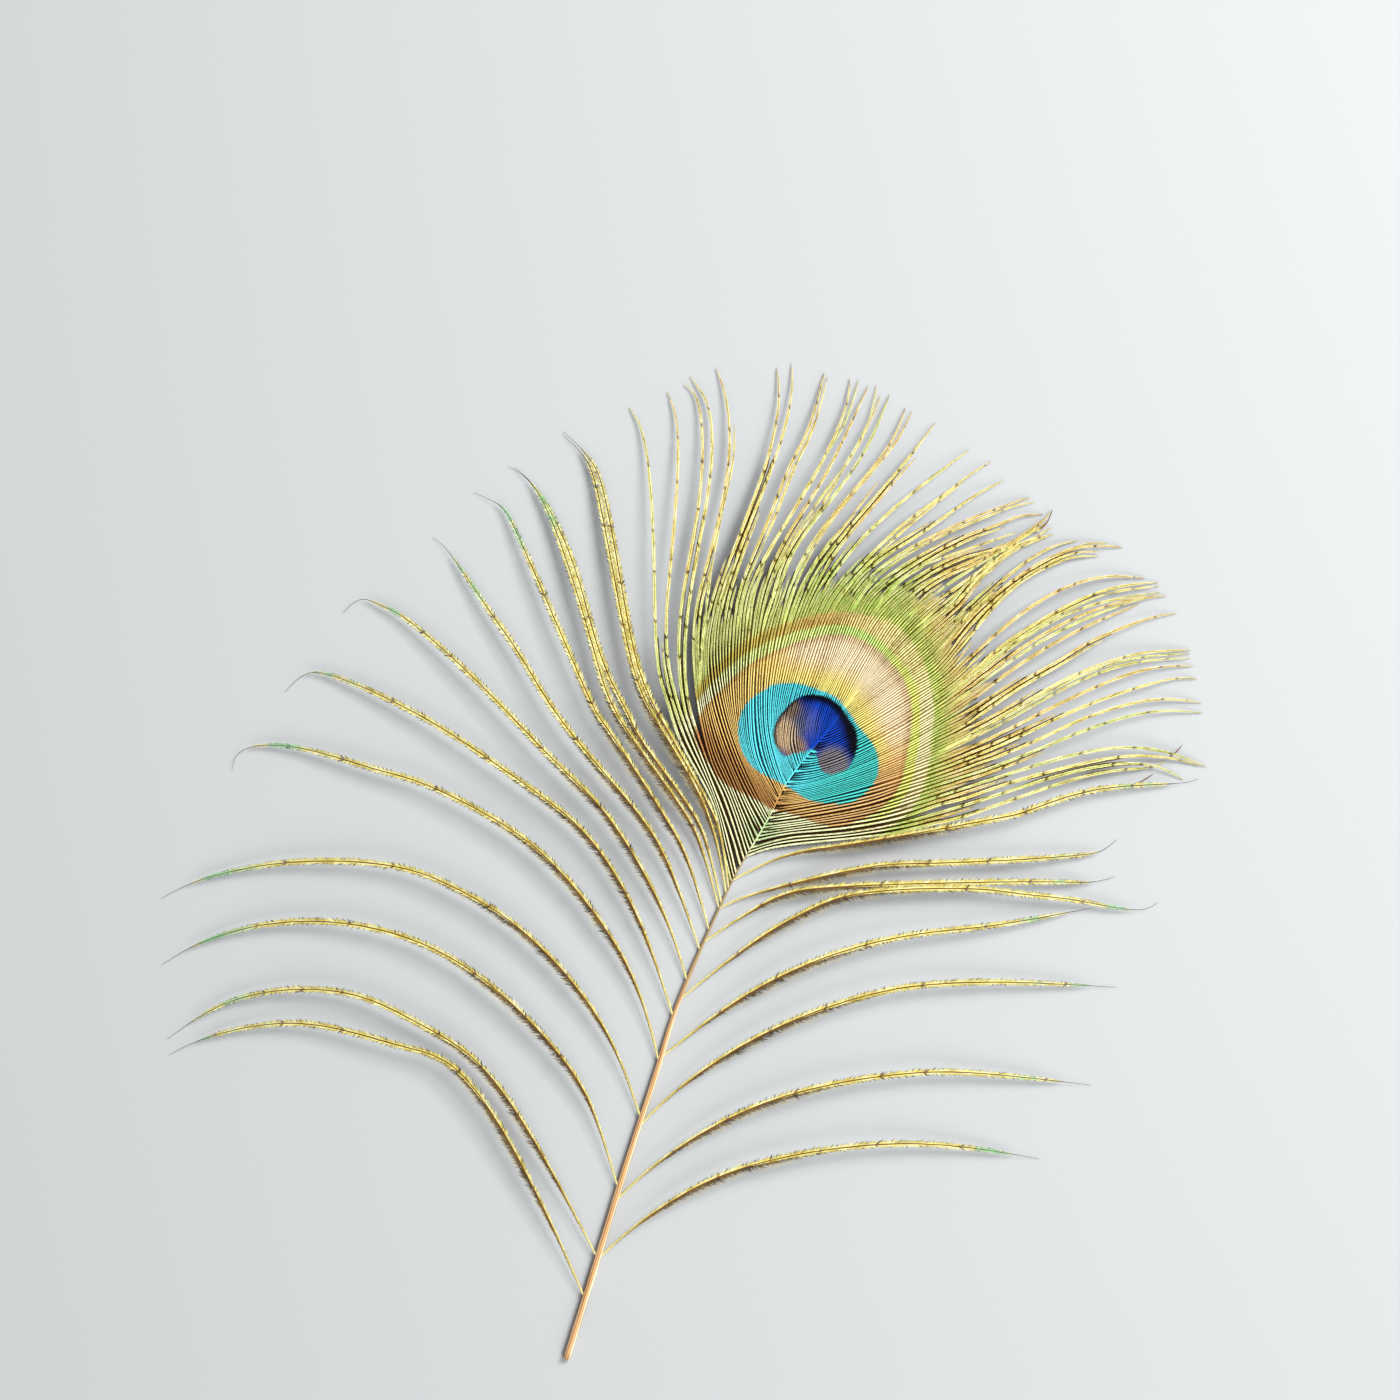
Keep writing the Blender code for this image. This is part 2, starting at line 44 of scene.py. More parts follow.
# the shaft's centre line and, below, every barb's path, root to tip, seen from above
shaftLine = [(-23.5, -99.7), (-17.3, -79.7), (-10.7, -58.3), (-5.1, -41.1), (-2.5, -32.5),
             (0.9, -23.5), (5.1, -13.9), (10.1, -3.3), (13.3, 2.3), (17.9, 10.3), (20.1, 14.9),
             (25.9, 22.7), (31.3, 29.3), (34.9, 34.3)]

looseBarbs = {
    "left_low_4": [(-19.7, -87.7), (-30.7, -63.7), (-45.7, -41.1), (-56.5, -36.7), (-77.5, -32.3),
        (-97.5, -36.1), (-103.1, -38.9)],
    "left_low_3": [(-17.3, -79.7), (-40.1, -41.1), (-52.7, -32.3), (-66.9, -26.3), (-89.1, -27.5),
        (-103.5, -35.7)],
    "left_low_2": [(-13.1, -65.7), (-17.3, -52.1), (-22.9, -41.1), (-43.3, -21.1), (-66.1, -12.5),
        (-85.3, -12.9), (-98.7, -17.3), (-104.7, -20.9)],
    "left_low_1": [(-8.5, -51.9), (-16.5, -32.3), (-32.3, -13.7), (-45.3, -5.3), (-56.7, -1.1),
        (-73.7, 0.1), (-87.1, -1.3), (-98.7, -4.5), (-104.7, -7.5)],
    "left_1": [(-5.1, -40.3), (-11.5, -20.5), (-27.7, 1.1), (-40.5, 10.1), (-52.7, 15.9), (-62.3, 18.7),
        (-79.5, 23.1), (-89.1, 21.7), (-90.5, 18.3)],
    "left_2": [(-2.3, -31.3), (-9.7, -10.1), (-20.3, 6.3), (-32.3, 15.9), (-50.7, 28.1), (-71.5, 37.5),
        (-76.1, 37.3), (-79.9, 33.9)],
    "left_3": [(0.5, -23.9), (-4.3, -9.7), (-15.5, 9.5), (-24.7, 19.1), (-41.5, 36.3), (-56.7, 49.3),
        (-60.7, 51.3), (-64.5, 52.5), (-68.3, 49.7)],
    "left_4": [(3.1, -17.7), (-3.5, 0.3), (-9.5, 10.1), (-24.7, 28.7), (-32.7, 41.3), (-39.5, 51.1),
        (-47.7, 62.7), (-50.3, 64.9)],
    "left_5": [(4.7, -13.5), (0.9, -0.1), (-3.5, 8.5), (-15.3, 26.7), (-18.3, 31.7), (-34.3, 67.7),
        (-37.1, 71.5), (-42.1, 73.9)],
    "left_6": [(6.5, -9.1), (3.7, 2.3), (0.1, 9.9), (-12.7, 28.5), (-17.1, 39.5), (-23.7, 61.1),
        (-30.7, 75.9), (-35.1, 79.1)],
    "left_6b": [(7.1, -8.1), (4.9, 2.3), (1.7, 9.9), (-8.7, 24.7), (-11.3, 29.9), (-15.9, 39.5),
        (-22.3, 60.3), (-29.9, 75.1), (-33.9, 78.9)],
    "left_7": [(8.1, -6.3), (4.1, 11.1), (-5.9, 28.9), (-10.9, 42.3), (-17.3, 74.3), (-20.1, 81.3),
        (-24.3, 85.5)],
    "left_7b": [(8.7, -5.3), (7.5, 4.3), (5.1, 11.1), (-4.7, 28.9), (-9.9, 42.3), (-16.1, 74.3),
        (-19.3, 81.3), (-24.1, 86.1)],
    "right_low_1": [(-9.1, -53.5), (-2.1, -46.5), (15.9, -34.5), (37.1, -26.5), (49.3, -24.5),
        (64.5, -24.1), (86.9, -25.3)],
    "right_low_2": [(-13.7, -68.5), (-6.3, -61.3), (15.3, -48.5), (44.3, -42.3), (59.3, -42.3),
        (81.7, -44.9)],
    "right_low_3": [(-17.3, -80.1), (-9.5, -72.9), (1.3, -65.7), (15.3, -60.1), (44.3, -56.3),
        (71.3, -59.7)],
    "right_1": [(-4.1, -39.5), (13.9, -25.9), (33.7, -17.3), (49.3, -14.1), (60.7, -12.9),
        (82.3, -9.3)],
    "right_2": [(-0.1, -27.9), (15.9, -14.9), (25.9, -9.3), (35.5, -6.3), (59.7, -5.5), (67.9, -6.5),
        (78.1, -7.7), (91.7, -9.7), (95.1, -8.3)],
    "right_3": [(4.5, -16.3), (18.5, -7.3), (27.1, -5.3), (49.3, -4.3), (75.3, -4.1), (82.3, -4.1),
        (86.5, -3.1)],
    "right_4": [(7.3, -9.7), (13.3, -6.9), (37.1, -1.1), (49.3, -0.3), (81.3, 1.5), (84.5, 2.5),
        (86.9, 4.3)],
    "right_5": [(10.1, -3.9), (20.5, 1.1), (33.7, 3.5), (61.7, 8.5), (67.9, 9.9), (82.3, 14.3),
        (99.9, 15.7), (103.3, 16.5)],
}

# eye barbs, clockwise: the points inside the dense vane, then those of the loose end
eyeBarbs = {
    "left_8": ([(9.5, -4.1), (7.7, 4.3), (5.7, 12.3), (-0.5, 24.1)], [(-3.1, 31.7), (-4.9, 38.1),
        (-5.9, 60.3), (-8.3, 85.9), (-10.9, 90.9)]),
    "left_9": ([(10.3, -2.3), (6.5, 12.3), (1.3, 24.9)], [(-3.1, 40.3), (-2.5, 60.3), (-1.3, 87.1),
        (-3.3, 94.1)]),
    "left_10": ([(10.9, -0.7), (9.3, 6.3), (2.1, 24.9)], [(-0.1, 32.3), (-0.7, 48.3), (3.3, 73.7),
        (2.5, 92.9), (0.1, 95.5)]),
    "left_11": ([(11.7, 0.5), (7.7, 13.7), (5.1, 19.3), (2.9, 25.3)], [(0.9, 32.3), (0.7, 48.3),
        (4.9, 73.7), (5.5, 87.9), (3.9, 93.5), (1.3, 97.1)]),
    "left_12": ([(12.5, 1.5), (8.7, 13.3), (5.9, 19.3), (2.9, 32.3)], [(2.3, 48.3), (5.5, 62.3),
        (9.1, 81.3), (8.3, 93.5), (6.5, 98.9)]),
    "eye_1": ([(15.9, 7.7), (11.7, 15.9), (7.3, 27.3), (4.9, 39.3)], [(7.3, 54.5), (16.1, 78.3),
        (19.1, 92.9), (18.7, 98.9)]),
    "eye_2": ([(16.7, 9.1), (10.3, 23.9), (6.7, 42.3)], [(10.1, 59.1), (19.1, 82.9), (21.7, 94.7),
        (21.7, 99.7)]),
    "eye_3": ([(17.3, 10.1), (11.5, 23.9), (9.9, 43.3)], [(11.7, 55.3), (16.1, 66.1), (21.5, 79.5),
        (24.7, 85.9), (28.3, 97.9)]),
    "eye_4": ([(17.9, 11.3), (12.3, 24.3), (11.9, 46.3)], [(13.9, 56.1), (25.7, 76.3), (32.7, 91.7),
        (33.3, 96.7)]),
    "eye_5": ([(18.5, 12.5), (15.3, 18.7), (13.7, 24.7), (13.5, 36.3), (14.5, 46.3)], [(16.5, 55.9),
        (21.9, 66.9), (27.7, 76.1), (37.1, 95.3)]),
    "eye_6": ([(19.5, 13.7), (17.3, 18.5), (15.3, 28.3), (16.1, 44.3)], [(18.5, 52.3), (21.5, 61.1),
        (29.3, 72.1), (36.9, 83.3), (41.3, 93.5)]),
    "eye_7": ([(20.5, 15.3), (17.1, 27.9), (19.1, 46.3)], [(25.3, 62.9), (40.5, 82.3), (44.5, 90.9)]),
    "eye_8": ([(21.1, 16.3), (19.7, 19.3), (18.3, 27.9), (21.9, 46.7)], [(28.5, 60.7), (42.7, 77.9),
        (50.5, 87.9)]),
    "eye_9": ([(21.7, 17.3), (19.5, 25.3), (22.5, 39.3), (24.9, 47.5)], [(33.7, 62.3), (57.3, 82.5)]),
    "eye_10": ([(22.7, 18.5), (21.5, 21.7), (21.1, 25.3), (27.7, 47.9)], [(31.3, 54.5), (42.7, 66.3),
        (52.3, 73.5), (56.7, 76.9), (61.7, 80.1)]),
    "eye_11": ([(23.9, 20.1), (22.9, 27.3), (26.7, 39.7), (29.7, 48.3)], [(36.9, 58.3), (47.9, 65.9),
        (57.9, 72.9), (64.3, 76.3)]),
    "eye_12": ([(24.9, 21.3), (24.3, 24.7), (24.9, 29.1), (29.1, 40.5), (31.9, 48.7)], [(39.7, 58.9),
        (63.5, 70.9), (69.5, 72.9)]),
    "eye_13": ([(25.9, 22.7), (26.7, 30.1), (32.1, 41.5), (35.5, 49.3)], [(39.7, 54.9), (56.7, 65.1),
        (62.7, 67.3), (67.5, 69.1), (72.1, 69.5)]),
    "eye_14": ([(27.3, 24.5), (32.5, 37.9), (34.9, 41.9), (39.3, 49.3)], [(50.1, 57.9), (56.7, 60.9),
        (63.1, 62.7), (69.7, 66.1), (73.9, 70.3)]),
    "eye_15": ([(29.7, 27.3), (38.5, 43.3), (42.7, 49.3)], [(51.3, 56.3), (57.3, 59.1), (73.1, 67.9)]),
    "axis": ([(34.9, 34.3), (45.3, 47.3)], [(53.3, 53.9), (63.3, 60.9), (67.7, 63.7), (74.3, 65.5)]),
    "eye_16": ([(33.7, 32.7), (46.5, 44.7)], [(54.5, 51.7), (57.9, 55.7), (71.9, 68.3)]),
    "eye_17": ([(31.3, 29.3), (48.9, 42.7)], [(67.1, 58.9), (74.9, 63.3), (79.1, 64.3)]),
    "eye_18": ([(29.1, 26.3), (37.3, 31.1), (44.9, 36.5), (50.3, 40.3)], [(57.3, 48.7), (76.1, 61.9),
        (88.1, 62.9)]),
    "eye_19": ([(27.1, 24.1), (29.7, 24.7), (45.7, 34.5), (51.3, 38.1)], [(64.1, 53.1), (73.1, 59.1),
        (78.3, 60.9), (83.3, 61.1)]),
    "eye_20": ([(25.5, 21.9), (28.5, 22.3), (52.3, 36.3)], [(55.7, 39.3), (69.7, 51.1), (80.9, 56.3),
        (86.9, 57.1), (92.5, 56.7)]),
    "eye_21": ([(23.7, 19.7), (27.5, 20.3), (52.1, 33.7)], [(63.1, 42.7), (82.7, 53.7), (95.3, 55.9)]),
    "eye_22": ([(22.3, 17.7), (27.5, 18.7), (37.3, 22.7), (52.3, 31.5)], [(65.3, 41.1), (78.3, 48.7),
        (91.3, 52.7), (96.9, 53.1)]),
    "eye_23": ([(20.9, 15.7), (27.5, 16.9), (52.1, 28.9)], [(65.3, 38.1), (78.3, 45.9), (91.3, 51.5)]),
    "eye_24": ([(20.1, 14.3), (27.5, 15.7), (45.7, 22.9), (50.5, 25.7)], [(55.7, 28.3), (67.1, 35.7),
        (74.9, 40.1), (80.9, 43.7), (93.5, 48.7), (98.9, 49.7)]),
    "eye_25": ([(19.1, 12.7), (23.7, 13.1), (37.3, 16.9), (50.1, 22.3)], [(63.1, 28.9), (76.1, 36.3),
        (89.1, 41.1), (95.7, 42.1), (101.7, 42.3)]),
    "eye_26": ([(18.3, 11.5), (23.7, 11.9), (49.7, 19.7)], [(69.7, 28.9), (91.3, 38.1), (102.3, 39.1)]),
    "eye_27": ([(17.7, 10.1), (37.3, 13.9), (49.3, 17.9)], [(63.3, 23.3), (78.3, 30.3), (97.9, 36.5),
        (102.9, 36.5)]),
    "eye_28": ([(16.9, 8.7), (37.3, 12.5), (42.5, 14.3), (49.3, 16.3)], [(69.7, 23.9), (78.3, 27.9),
        (93.5, 32.3), (103.9, 31.7)]),
    "eye_29": ([(16.3, 7.3), (37.3, 10.9), (49.3, 14.9)], [(63.3, 19.5), (78.3, 25.5), (93.5, 29.9),
        (104.1, 29.7)]),
    "eye_30": ([(15.5, 5.7), (37.3, 9.1), (44.3, 10.9)], [(65.9, 17.9), (84.3, 22.5), (95.7, 22.1),
        (104.9, 18.9)]),
    "right_8": ([(14.7, 4.1), (20.3, 5.5), (30.1, 6.5), (44.3, 9.1)], [(51.3, 11.5), (55.5, 12.5),
        (63.7, 15.3), (84.3, 20.5), (92.5, 21.1), (99.3, 20.3), (103.5, 19.1)]),
    "right_7": ([(13.7, 2.5), (21.3, 4.7), (30.1, 5.5), (44.9, 8.1)], [(64.3, 13.9), (82.3, 18.9),
        (94.1, 19.1), (100.3, 16.3)]),
    "right_6": ([(12.7, 0.9), (18.3, 2.9), (41.3, 5.7)], [(49.3, 7.5), (55.5, 8.9), (82.3, 17.5),
        (93.7, 18.9), (96.5, 20.1)]),
}

# short and twin barbs that end apart from their neighbours: the barb that each follows inside the eye,
# how far it stands towards the next one, and the points of its loose end
extraBarbs = {
    "left_12_twin": ("left_12", 0.2, [(6.3, 62.5), (9.9, 80.5), (10.1, 87.5)]),
    "eye_3_twin": ("eye_3", 0.3, [(12.5, 55.1), (17.0, 65.8), (22.4, 79.2), (25.5, 85.6), (28.9, 97.2)]),
    "eye_4_twin": ("eye_4", 0.25, [(14.9, 56.6), (28.5, 81.3), (32.3, 87.9), (34.1, 92.9), (35.1, 96.5)]),
    "eye_5_twin": ("eye_5", 0.35, [(18.2, 57.1), (28.9, 74.7), (34.1, 82.1), (37.7, 90.1), (38.7, 95.5)]),
    "eye_5_third": ("eye_5", 0.65, [(19.3, 56.3), (29.3, 73.9), (33.1, 80.3), (36.9, 87.1), (39.5, 93.3)]),
    "eye_7_twin": ("eye_7", 0.2, [(26.0, 62.7), (41.2, 82.1), (45.9, 90.3)]),
    "eye_7_short": ("eye_7", 0.6, [(27.1, 61.1), (30.7, 65.7), (34.9, 70.7), (38.9, 76.1)]),
    "eye_10_twin": ("eye_10", 0.35, [(32.6, 54.6), (43.6, 65.9), (55.9, 75.7)]),
    "eye_12_twin": ("eye_12", 0.3, [(41.2, 59.0), (60.9, 69.1), (66.1, 71.1), (70.5, 71.9)]),
    "eye_13_short": ("eye_13", 0.7, [(42.6, 55.4), (47.7, 58.7)]),
    "eye_13_twin": ("eye_13", 0.5, [(44.5, 57.0), (56.9, 62.5), (66.7, 65.9)]),
    "tuft_1": ("eye_15", 0.5, [(52.5, 55.2), (60.0, 59.9), (69.0, 65.4), (72.9, 67.5)]),
    "tuft_2": ("axis", 0.4, [(54.2, 53.4), (65.0, 61.6), (73.9, 66.9)]),
    "tuft_3": ("axis", 0.7, [(55.0, 52.5), (66.0, 61.9), (73.3, 65.1)]),
    "tuft_4": ("eye_14", 0.6, [(51.0, 57.0), (62.0, 61.9), (71.5, 68.1)]),
    "eye_17_twin": ("eye_17", 0.6, [(60.5, 52.2), (71.3, 59.7), (76.1, 61.9), (80.5, 63.5), (85.1, 63.7)]),
    "bundle_1": ("eye_21", 0.3, [(64.0, 42.7), (82.7, 52.9), (95.5, 55.1)]),
    "bundle_2": ("eye_21", 0.6, [(64.6, 42.1), (80.0, 50.7), (95.7, 53.9)]),
    "bundle_3": ("eye_22", 0.4, [(65.8, 40.4), (78.5, 47.7), (90.0, 52.0), (94.3, 52.9)]),
    "group_1": ("eye_25", 0.3, [(63.6, 28.5), (76.4, 35.7), (89.2, 40.4), (101.7, 41.6)]),
    "group_2": ("eye_25", 0.6, [(64.0, 27.9), (77.0, 35.1), (89.5, 39.6), (101.7, 40.7)]),
}

# bare hairs at the right edge, that cross between the barbs' tips
strayHairs = {
    "hair_1": [(89.3, 15.1), (91.5, 15.9), (94.1, 17.5)],
    "hair_2": [(96.9, 20.7), (98.3, 21.5), (99.9, 23.3)],
    "hair_3": [(70.9, 66.1), (72.7, 67.7), (73.9, 70.5)],
}

shaftShape = {
    "widths": [(0, 1.56), (40, 1.36), (62, 1.22), (76, 0.95), (88, 0.7), (104, 0.44), (113, 0.26),
               (125, 0.16), (150, 0.1)],
    "heightShare": 0.9,
    "flatLength": 108.0,   # this much of it lies flat on the table
    "tipRise": 2.2,        # and the thin end is lifted inside the eye
    "pieces": 64,          # lengths that it is extruded in
    "sides": 12,
    "raise": 0.41,         # how high the round's middle stands, as a share of its width
    "flatBelow": 0.07,     # and below this share it is flat
    "rootsAt": (0.5, 0.9),  # the barbs' roots, as shares of its height: at its sides, and more on top
    "covered": (104.0, 116.0),  # along here they climb from its sides to its top
    "aimOver": 0.5,        # its direction is taken this far to both sides
}

barbShape = {
    "arch": 0.04,          # how high a barb arches, as a share of its length
    "highestArch": 3.6,
    "step": 0.6,           # distance between samples along a barb
    "tipHeight": 0.1,
    "settle": 6.0,         # length over which a lower barb sinks past the vane's edge
    "breaks": (3.0, 16.0),  # distance between the small breaks in a loose end's rows
    "looseBreaks": (7.0, 30.0),
    "unbroken": 3.5,       # no break comes sooner than this past the vane's edge
    "strayHeight": 0.8,
}

fanShape = {
    # the barbs' pitch at the vane's edge, by place in the fan from left to right
    "pitches": [(0, 0.95), (3, 0.9), (4, 0.45), (5, 0.7), (9, 0.68), (12, 0.56), (17, 0.52), (28, 0.56),
                (32, 0.7), (35, 0.85), (38, 0.95)],
    # how slim the rows are inside the vane
    "slim": [(0, 0.66), (5, 0.66), (10, 0.88), (19, 0.95), (20, 0.7), (21, 0.9), (24, 0.95),
             (31, 0.82), (38, 0.76)],
    # where along the loose ends the barbs in between have joined a neighbour
    "gather": [(0, 0.12), (4, 0.1), (5, 0.45), (10, 0.4), (14, 0.42), (22, 0.42), (28, 0.25), (38, 0.2)],
    "gatherVaries": (0.8, 1.2),
    "uneven": 0.18,           # how far a barb in between strays from even spacing
    "beside": 0.85,           # distance between two barbs that have joined
    "lower": 0.1,             # and how much lower one of them lies
    "reach": (0.22, 0.92),    # how far out they end
    "dive": (0.12, 0.3),      # or how far, for those that dive under their neighbours
    "splay": 1.5,             # how much that distance can change toward their ends, as a share
    "splayFrom": 0.75,
    "samples": (80, 120),     # inside and outside the vane's edge
    "shaftFrom": 109.0,       # the shaft is bare up to here
    "overShaft": 0.6,         # height of its barbules above it, as a share of its width
    "nearest": 0.17,          # a barb shows from where it is this far from the others
    "crowdedTo": 0.8,         # the share of the way to the vane's edge in which it can be hidden
    "extraLower": 0.05,
    "extraInside": 1.0,       # how far inside the vane's edge an extra barb starts to show
    "extraAim": 12,           # its loose end sets out as its host runs over this many samples
    "neighbours": 3,          # how many barbs to each side are looked at for room
    "farAway": 9.0,           # the room of a barb that has no neighbour
}


def tableValue(table, place):
    places, values = zip(*table)
    return np.interp(place, places, values)


def arcLengths(line):
    return np.append(0.0, np.cumsum(np.hypot(*np.diff(line, axis=0).T)))


def evenPoints(line, count):
    along = arcLengths(line)
    even = np.linspace(0.0, along[-1], count)
    return np.column_stack([np.interp(even, along, line[:, i]) for i in range(line.shape[1])])


def smoothLine(points, count=400):
    # a natural cubic spline through the points, evenly sampled
    points = np.array(points, float)
    total = len(points)
    knots = np.append(0.0, np.cumsum(np.sqrt(np.hypot(*np.diff(points, axis=0).T))))
    gaps = np.diff(knots)
    slopes = np.diff(points, axis=0) / gaps[:, None]
    system = np.eye(total)
    target = np.zeros((total, 2))
    for i in range(1, total - 1):
        system[i, i - 1:i + 2] = gaps[i - 1], 2 * (gaps[i - 1] + gaps[i]), gaps[i]
        target[i] = 3 * (slopes[i] - slopes[i - 1])
    bends = np.linalg.solve(system, target)
    where = np.linspace(0.0, knots[-1], count)
    span = np.clip(np.searchsorted(knots, where, side="right") - 1, 0, total - 2)
    step = (where - knots[span])[:, None]
    gap = gaps[span][:, None]
    first = slopes[span] - gap * (2 * bends[span] + bends[span + 1]) / 3
    third = (bends[span + 1] - bends[span]) / (3 * gap)
    return evenPoints(points[span] + first * step + bends[span] * step ** 2 + third * step ** 3, count)


def smoothStep(value, start, end):
    share = np.clip((value - start) / (end - start), 0.0, 1.0)
    return share * share * (3 - 2 * share)


def nearestIndex(line, point):
    return np.argmin(np.hypot(line[:, 0] - point[0], line[:, 1] - point[1]))


def sideways(line):
    # the unit vectors along a line and to its left
    ahead = np.gradient(line, axis=0)
    ahead /= np.hypot(ahead[:, 0], ahead[:, 1])[:, None]
    return ahead, np.column_stack([-ahead[:, 1], ahead[:, 0]])


shaftPlan = smoothLine(shaftLine)
shaftAlong = arcLengths(shaftPlan)


def shaftDistance(point):
    return shaftAlong[nearestIndex(shaftPlan, point)]


def shaftUnderside(distance):
    return shaftShape["tipRise"] * smoothStep(distance, shaftShape["flatLength"], shaftAlong[-1])


def rootHeight(distance):
    # barbs leave the shaft's sides below the eye, and lie over it inside the eye
    height = shaftShape["heightShare"] * tableValue(shaftShape["widths"], distance)
    low, more = shaftShape["rootsAt"]
    over = low + more * smoothStep(distance, *shaftShape["covered"])
    return shaftUnderside(distance) + over * height


def makeStrand(name, plan, edge=0.0, lower=0.0, whole=None, breaks="breaks"):
    # one barb: samples of its place, direction and height, from the root to the tip; whole is the
    # length of the barb that it follows, whose arch it shares
    length = arcLengths(plan)[-1]
    count = int(length / barbShape["step"]) + 2
    xy = evenPoints(plan, count)
    along = np.linspace(0.0, length, count)
    ahead, left = sideways(xy)
    whole = max(whole or length, length)
    arch = min(barbShape["arch"] * whole, barbShape["highestArch"])
    start = rootHeight(shaftDistance(xy[0]))
    onWhole = along / whole
    z = start * (1 - onWhole) + barbShape["tipHeight"] * onWhole + 4 * arch * onWhole * (1 - onWhole)
    z -= lower * smoothStep(along, edge, edge + barbShape["settle"])
    steps = rng.uniform(*barbShape[breaks], int(length / barbShape[breaks][0]) + 2)
    return {"name": name, "xy": xy, "along": along, "length": length, "z": z, "ahead": ahead, "left": left,
            "edge": edge, "breaks": edge + barbShape["unbroken"] + np.cumsum(steps), "tone": rng.uniform()}


def onShaft(points):
    # a barb's points with the first one moved onto the shaft's middle
    return [tuple(shaftPlan[nearestIndex(shaftPlan, points[0])])] + list(points[1:])


def looseStrands():
    return [makeStrand(name, smoothLine(onShaft(points)), breaks="looseBreaks")
            for name, points in looseBarbs.items()]


def guideHalves():
    # each measured eye barb as an inner and an outer half, evenly sampled
    halves = {}
    insideCount, outsideCount = fanShape["samples"]
    for name, (inner, outer) in eyeBarbs.items():
        line = smoothLine(onShaft(inner + outer))
        cut = nearestIndex(line, inner[-1])
        halves[name] = (evenPoints(line[:cut + 1], insideCount), evenPoints(line[cut:], outsideCount))
    return halves


def betweenStrand(halves, place, share, rank, joined, reach):
    # a barb between two measured ones, which comes beside the nearer of them on its way out
    names = list(halves)
    (inner, outer), (nextInner, nextOuter) = halves[names[place]], halves[names[place + 1]]
    along = np.linspace(0, 1, len(outer))
    weight = smoothStep(along, 0.0, joined)[:, None]
    mixed = outer * (1 - share) + nextOuter * share
    host, other = (outer, nextOuter) if share < 0.5 else (nextOuter, outer)
    left = sideways(host)[1]
    turn = np.sign(np.sum((other - host) * left, axis=1))[:, None]
    turn = np.where(turn == 0, turn[0], turn[len(turn) // 3])
    ends = smoothStep(along, fanShape["splayFrom"], 1.0)[:, None]
    splay = 1 + fanShape["splay"] * ends * rng.uniform(-0.5, 1.0)
    beside = host + left * turn * fanShape["beside"] * rank * splay
    path = mixed * (1 - weight) + beside * weight
    innerMix = inner * (1 - share) + nextInner * share
    line = np.vstack([innerMix, path[1:int(len(path) * reach)]])
    name = f"{names[place]}_{round(share * 100)}"
    whole = arcLengths(np.vstack([innerMix, path[1:]]))[-1]
    return makeStrand(name, line, arcLengths(innerMix)[-1], fanShape["lower"] * rank, whole)


def eyeStrands():
    halves = guideHalves()
    names = list(halves)
    strands = []
    for i, name in enumerate(names):
        inner, outer = halves[name]
        strands.append(makeStrand(name, np.vstack([inner, outer[1:]]), arcLengths(inner)[-1]))
        strands[-1]["slim"] = tableValue(fanShape["slim"], i)
        if i + 1 == len(names):
            break
        nextLine = np.vstack(halves[names[i + 1]])
        gap = np.hypot(nextLine[:, 0] - inner[-1][0], nextLine[:, 1] - inner[-1][1]).min()
        extra = int(round(gap / tableValue(fanShape["pitches"], i))) - 1
        joined = tableValue(fanShape["gather"], i) * rng.uniform(*fanShape["gatherVaries"])
        for k in range(extra):
            share = (k + 1 + rng.uniform(-1, 1) * fanShape["uneven"]) / (extra + 1)
            step = k + 1 if share < 0.5 else extra - k
            # every second barb dives under its neighbours soon after the vane's edge
            dives = extra > 2 and step % 2 == 1
            nearest, farthest = fanShape["dive" if dives else "reach"]
            reach = nearest + (farthest - nearest) * rng.uniform() ** 2
            rank = 0.5 * step if extra > 2 else step
            strands.append(betweenStrand(halves, i, share, rank, joined, reach))
            strands[-1]["slim"] = tableValue(fanShape["slim"], i)
    return strands


def extraStrands():
    halves = guideHalves()
    names = list(halves)
    strands = []
    for name, (host, share, points) in extraBarbs.items():
        following = names[names.index(host) + 1]
        inner = halves[host][0] * (1 - share) + halves[following][0] * share
        line = smoothLine([tuple(inner[-fanShape["extraAim"]]), tuple(inner[-1])] + points)
        cut = nearestIndex(line, inner[-1])
        edge = arcLengths(inner)[-1]
        whole = edge + arcLengths(halves[host][1])[-1]
        strand = makeStrand(name, np.vstack([inner, line[cut + 1:]]), edge, fanShape["extraLower"], whole)
        strand["from"] = edge - fanShape["extraInside"]
        strands.append(strand)
    return strands


def shaftStrands():
    # inside the eye the shaft itself is covered by barbules
    shown = shaftAlong > fanShape["shaftFrom"]
    strand = makeStrand("shaft_top", shaftPlan[shown])
    distance = strand["along"] + fanShape["shaftFrom"]
    width = tableValue(shaftShape["widths"], distance)
    strand["z"] = shaftUnderside(distance) + (shaftShape["heightShare"] + fanShape["overShaft"]) * width
    return [strand]


def hairStrands():
    strands = []
    for name, points in strayHairs.items():
        strand = makeStrand(name, smoothLine(points))
        strand["z"] = np.full(len(strand["z"]), barbShape["strayHeight"])
        strands.append(strand)
    return strands


def distances(strand, others):
    # from each sample of a strand to the nearest sample of the others that shows
    shown = np.vstack([other["xy"][other["along"] >= other.get("from", 0.0)] for other in others])
    return np.hypot(strand["xy"][:, None, 0] - shown[None, :, 0],
                    strand["xy"][:, None, 1] - shown[None, :, 1]).min(axis=1)


def hideCrowded(strands):
    # where barbs run too close together beside the shaft, only the measured ones show
    kept = [strand for strand in strands if strand["name"] in eyeBarbs]
    for strand in strands:
        if strand["name"] in eyeBarbs:
            continue
        inside = strand["along"] < fanShape["crowdedTo"] * strand["edge"]
        near = (distances(strand, kept) < fanShape["nearest"]) & inside
        if near.any():
            strand["from"] = strand["along"][np.nonzero(near)[0][-1]] + barbShape["step"]
        kept.append(strand)


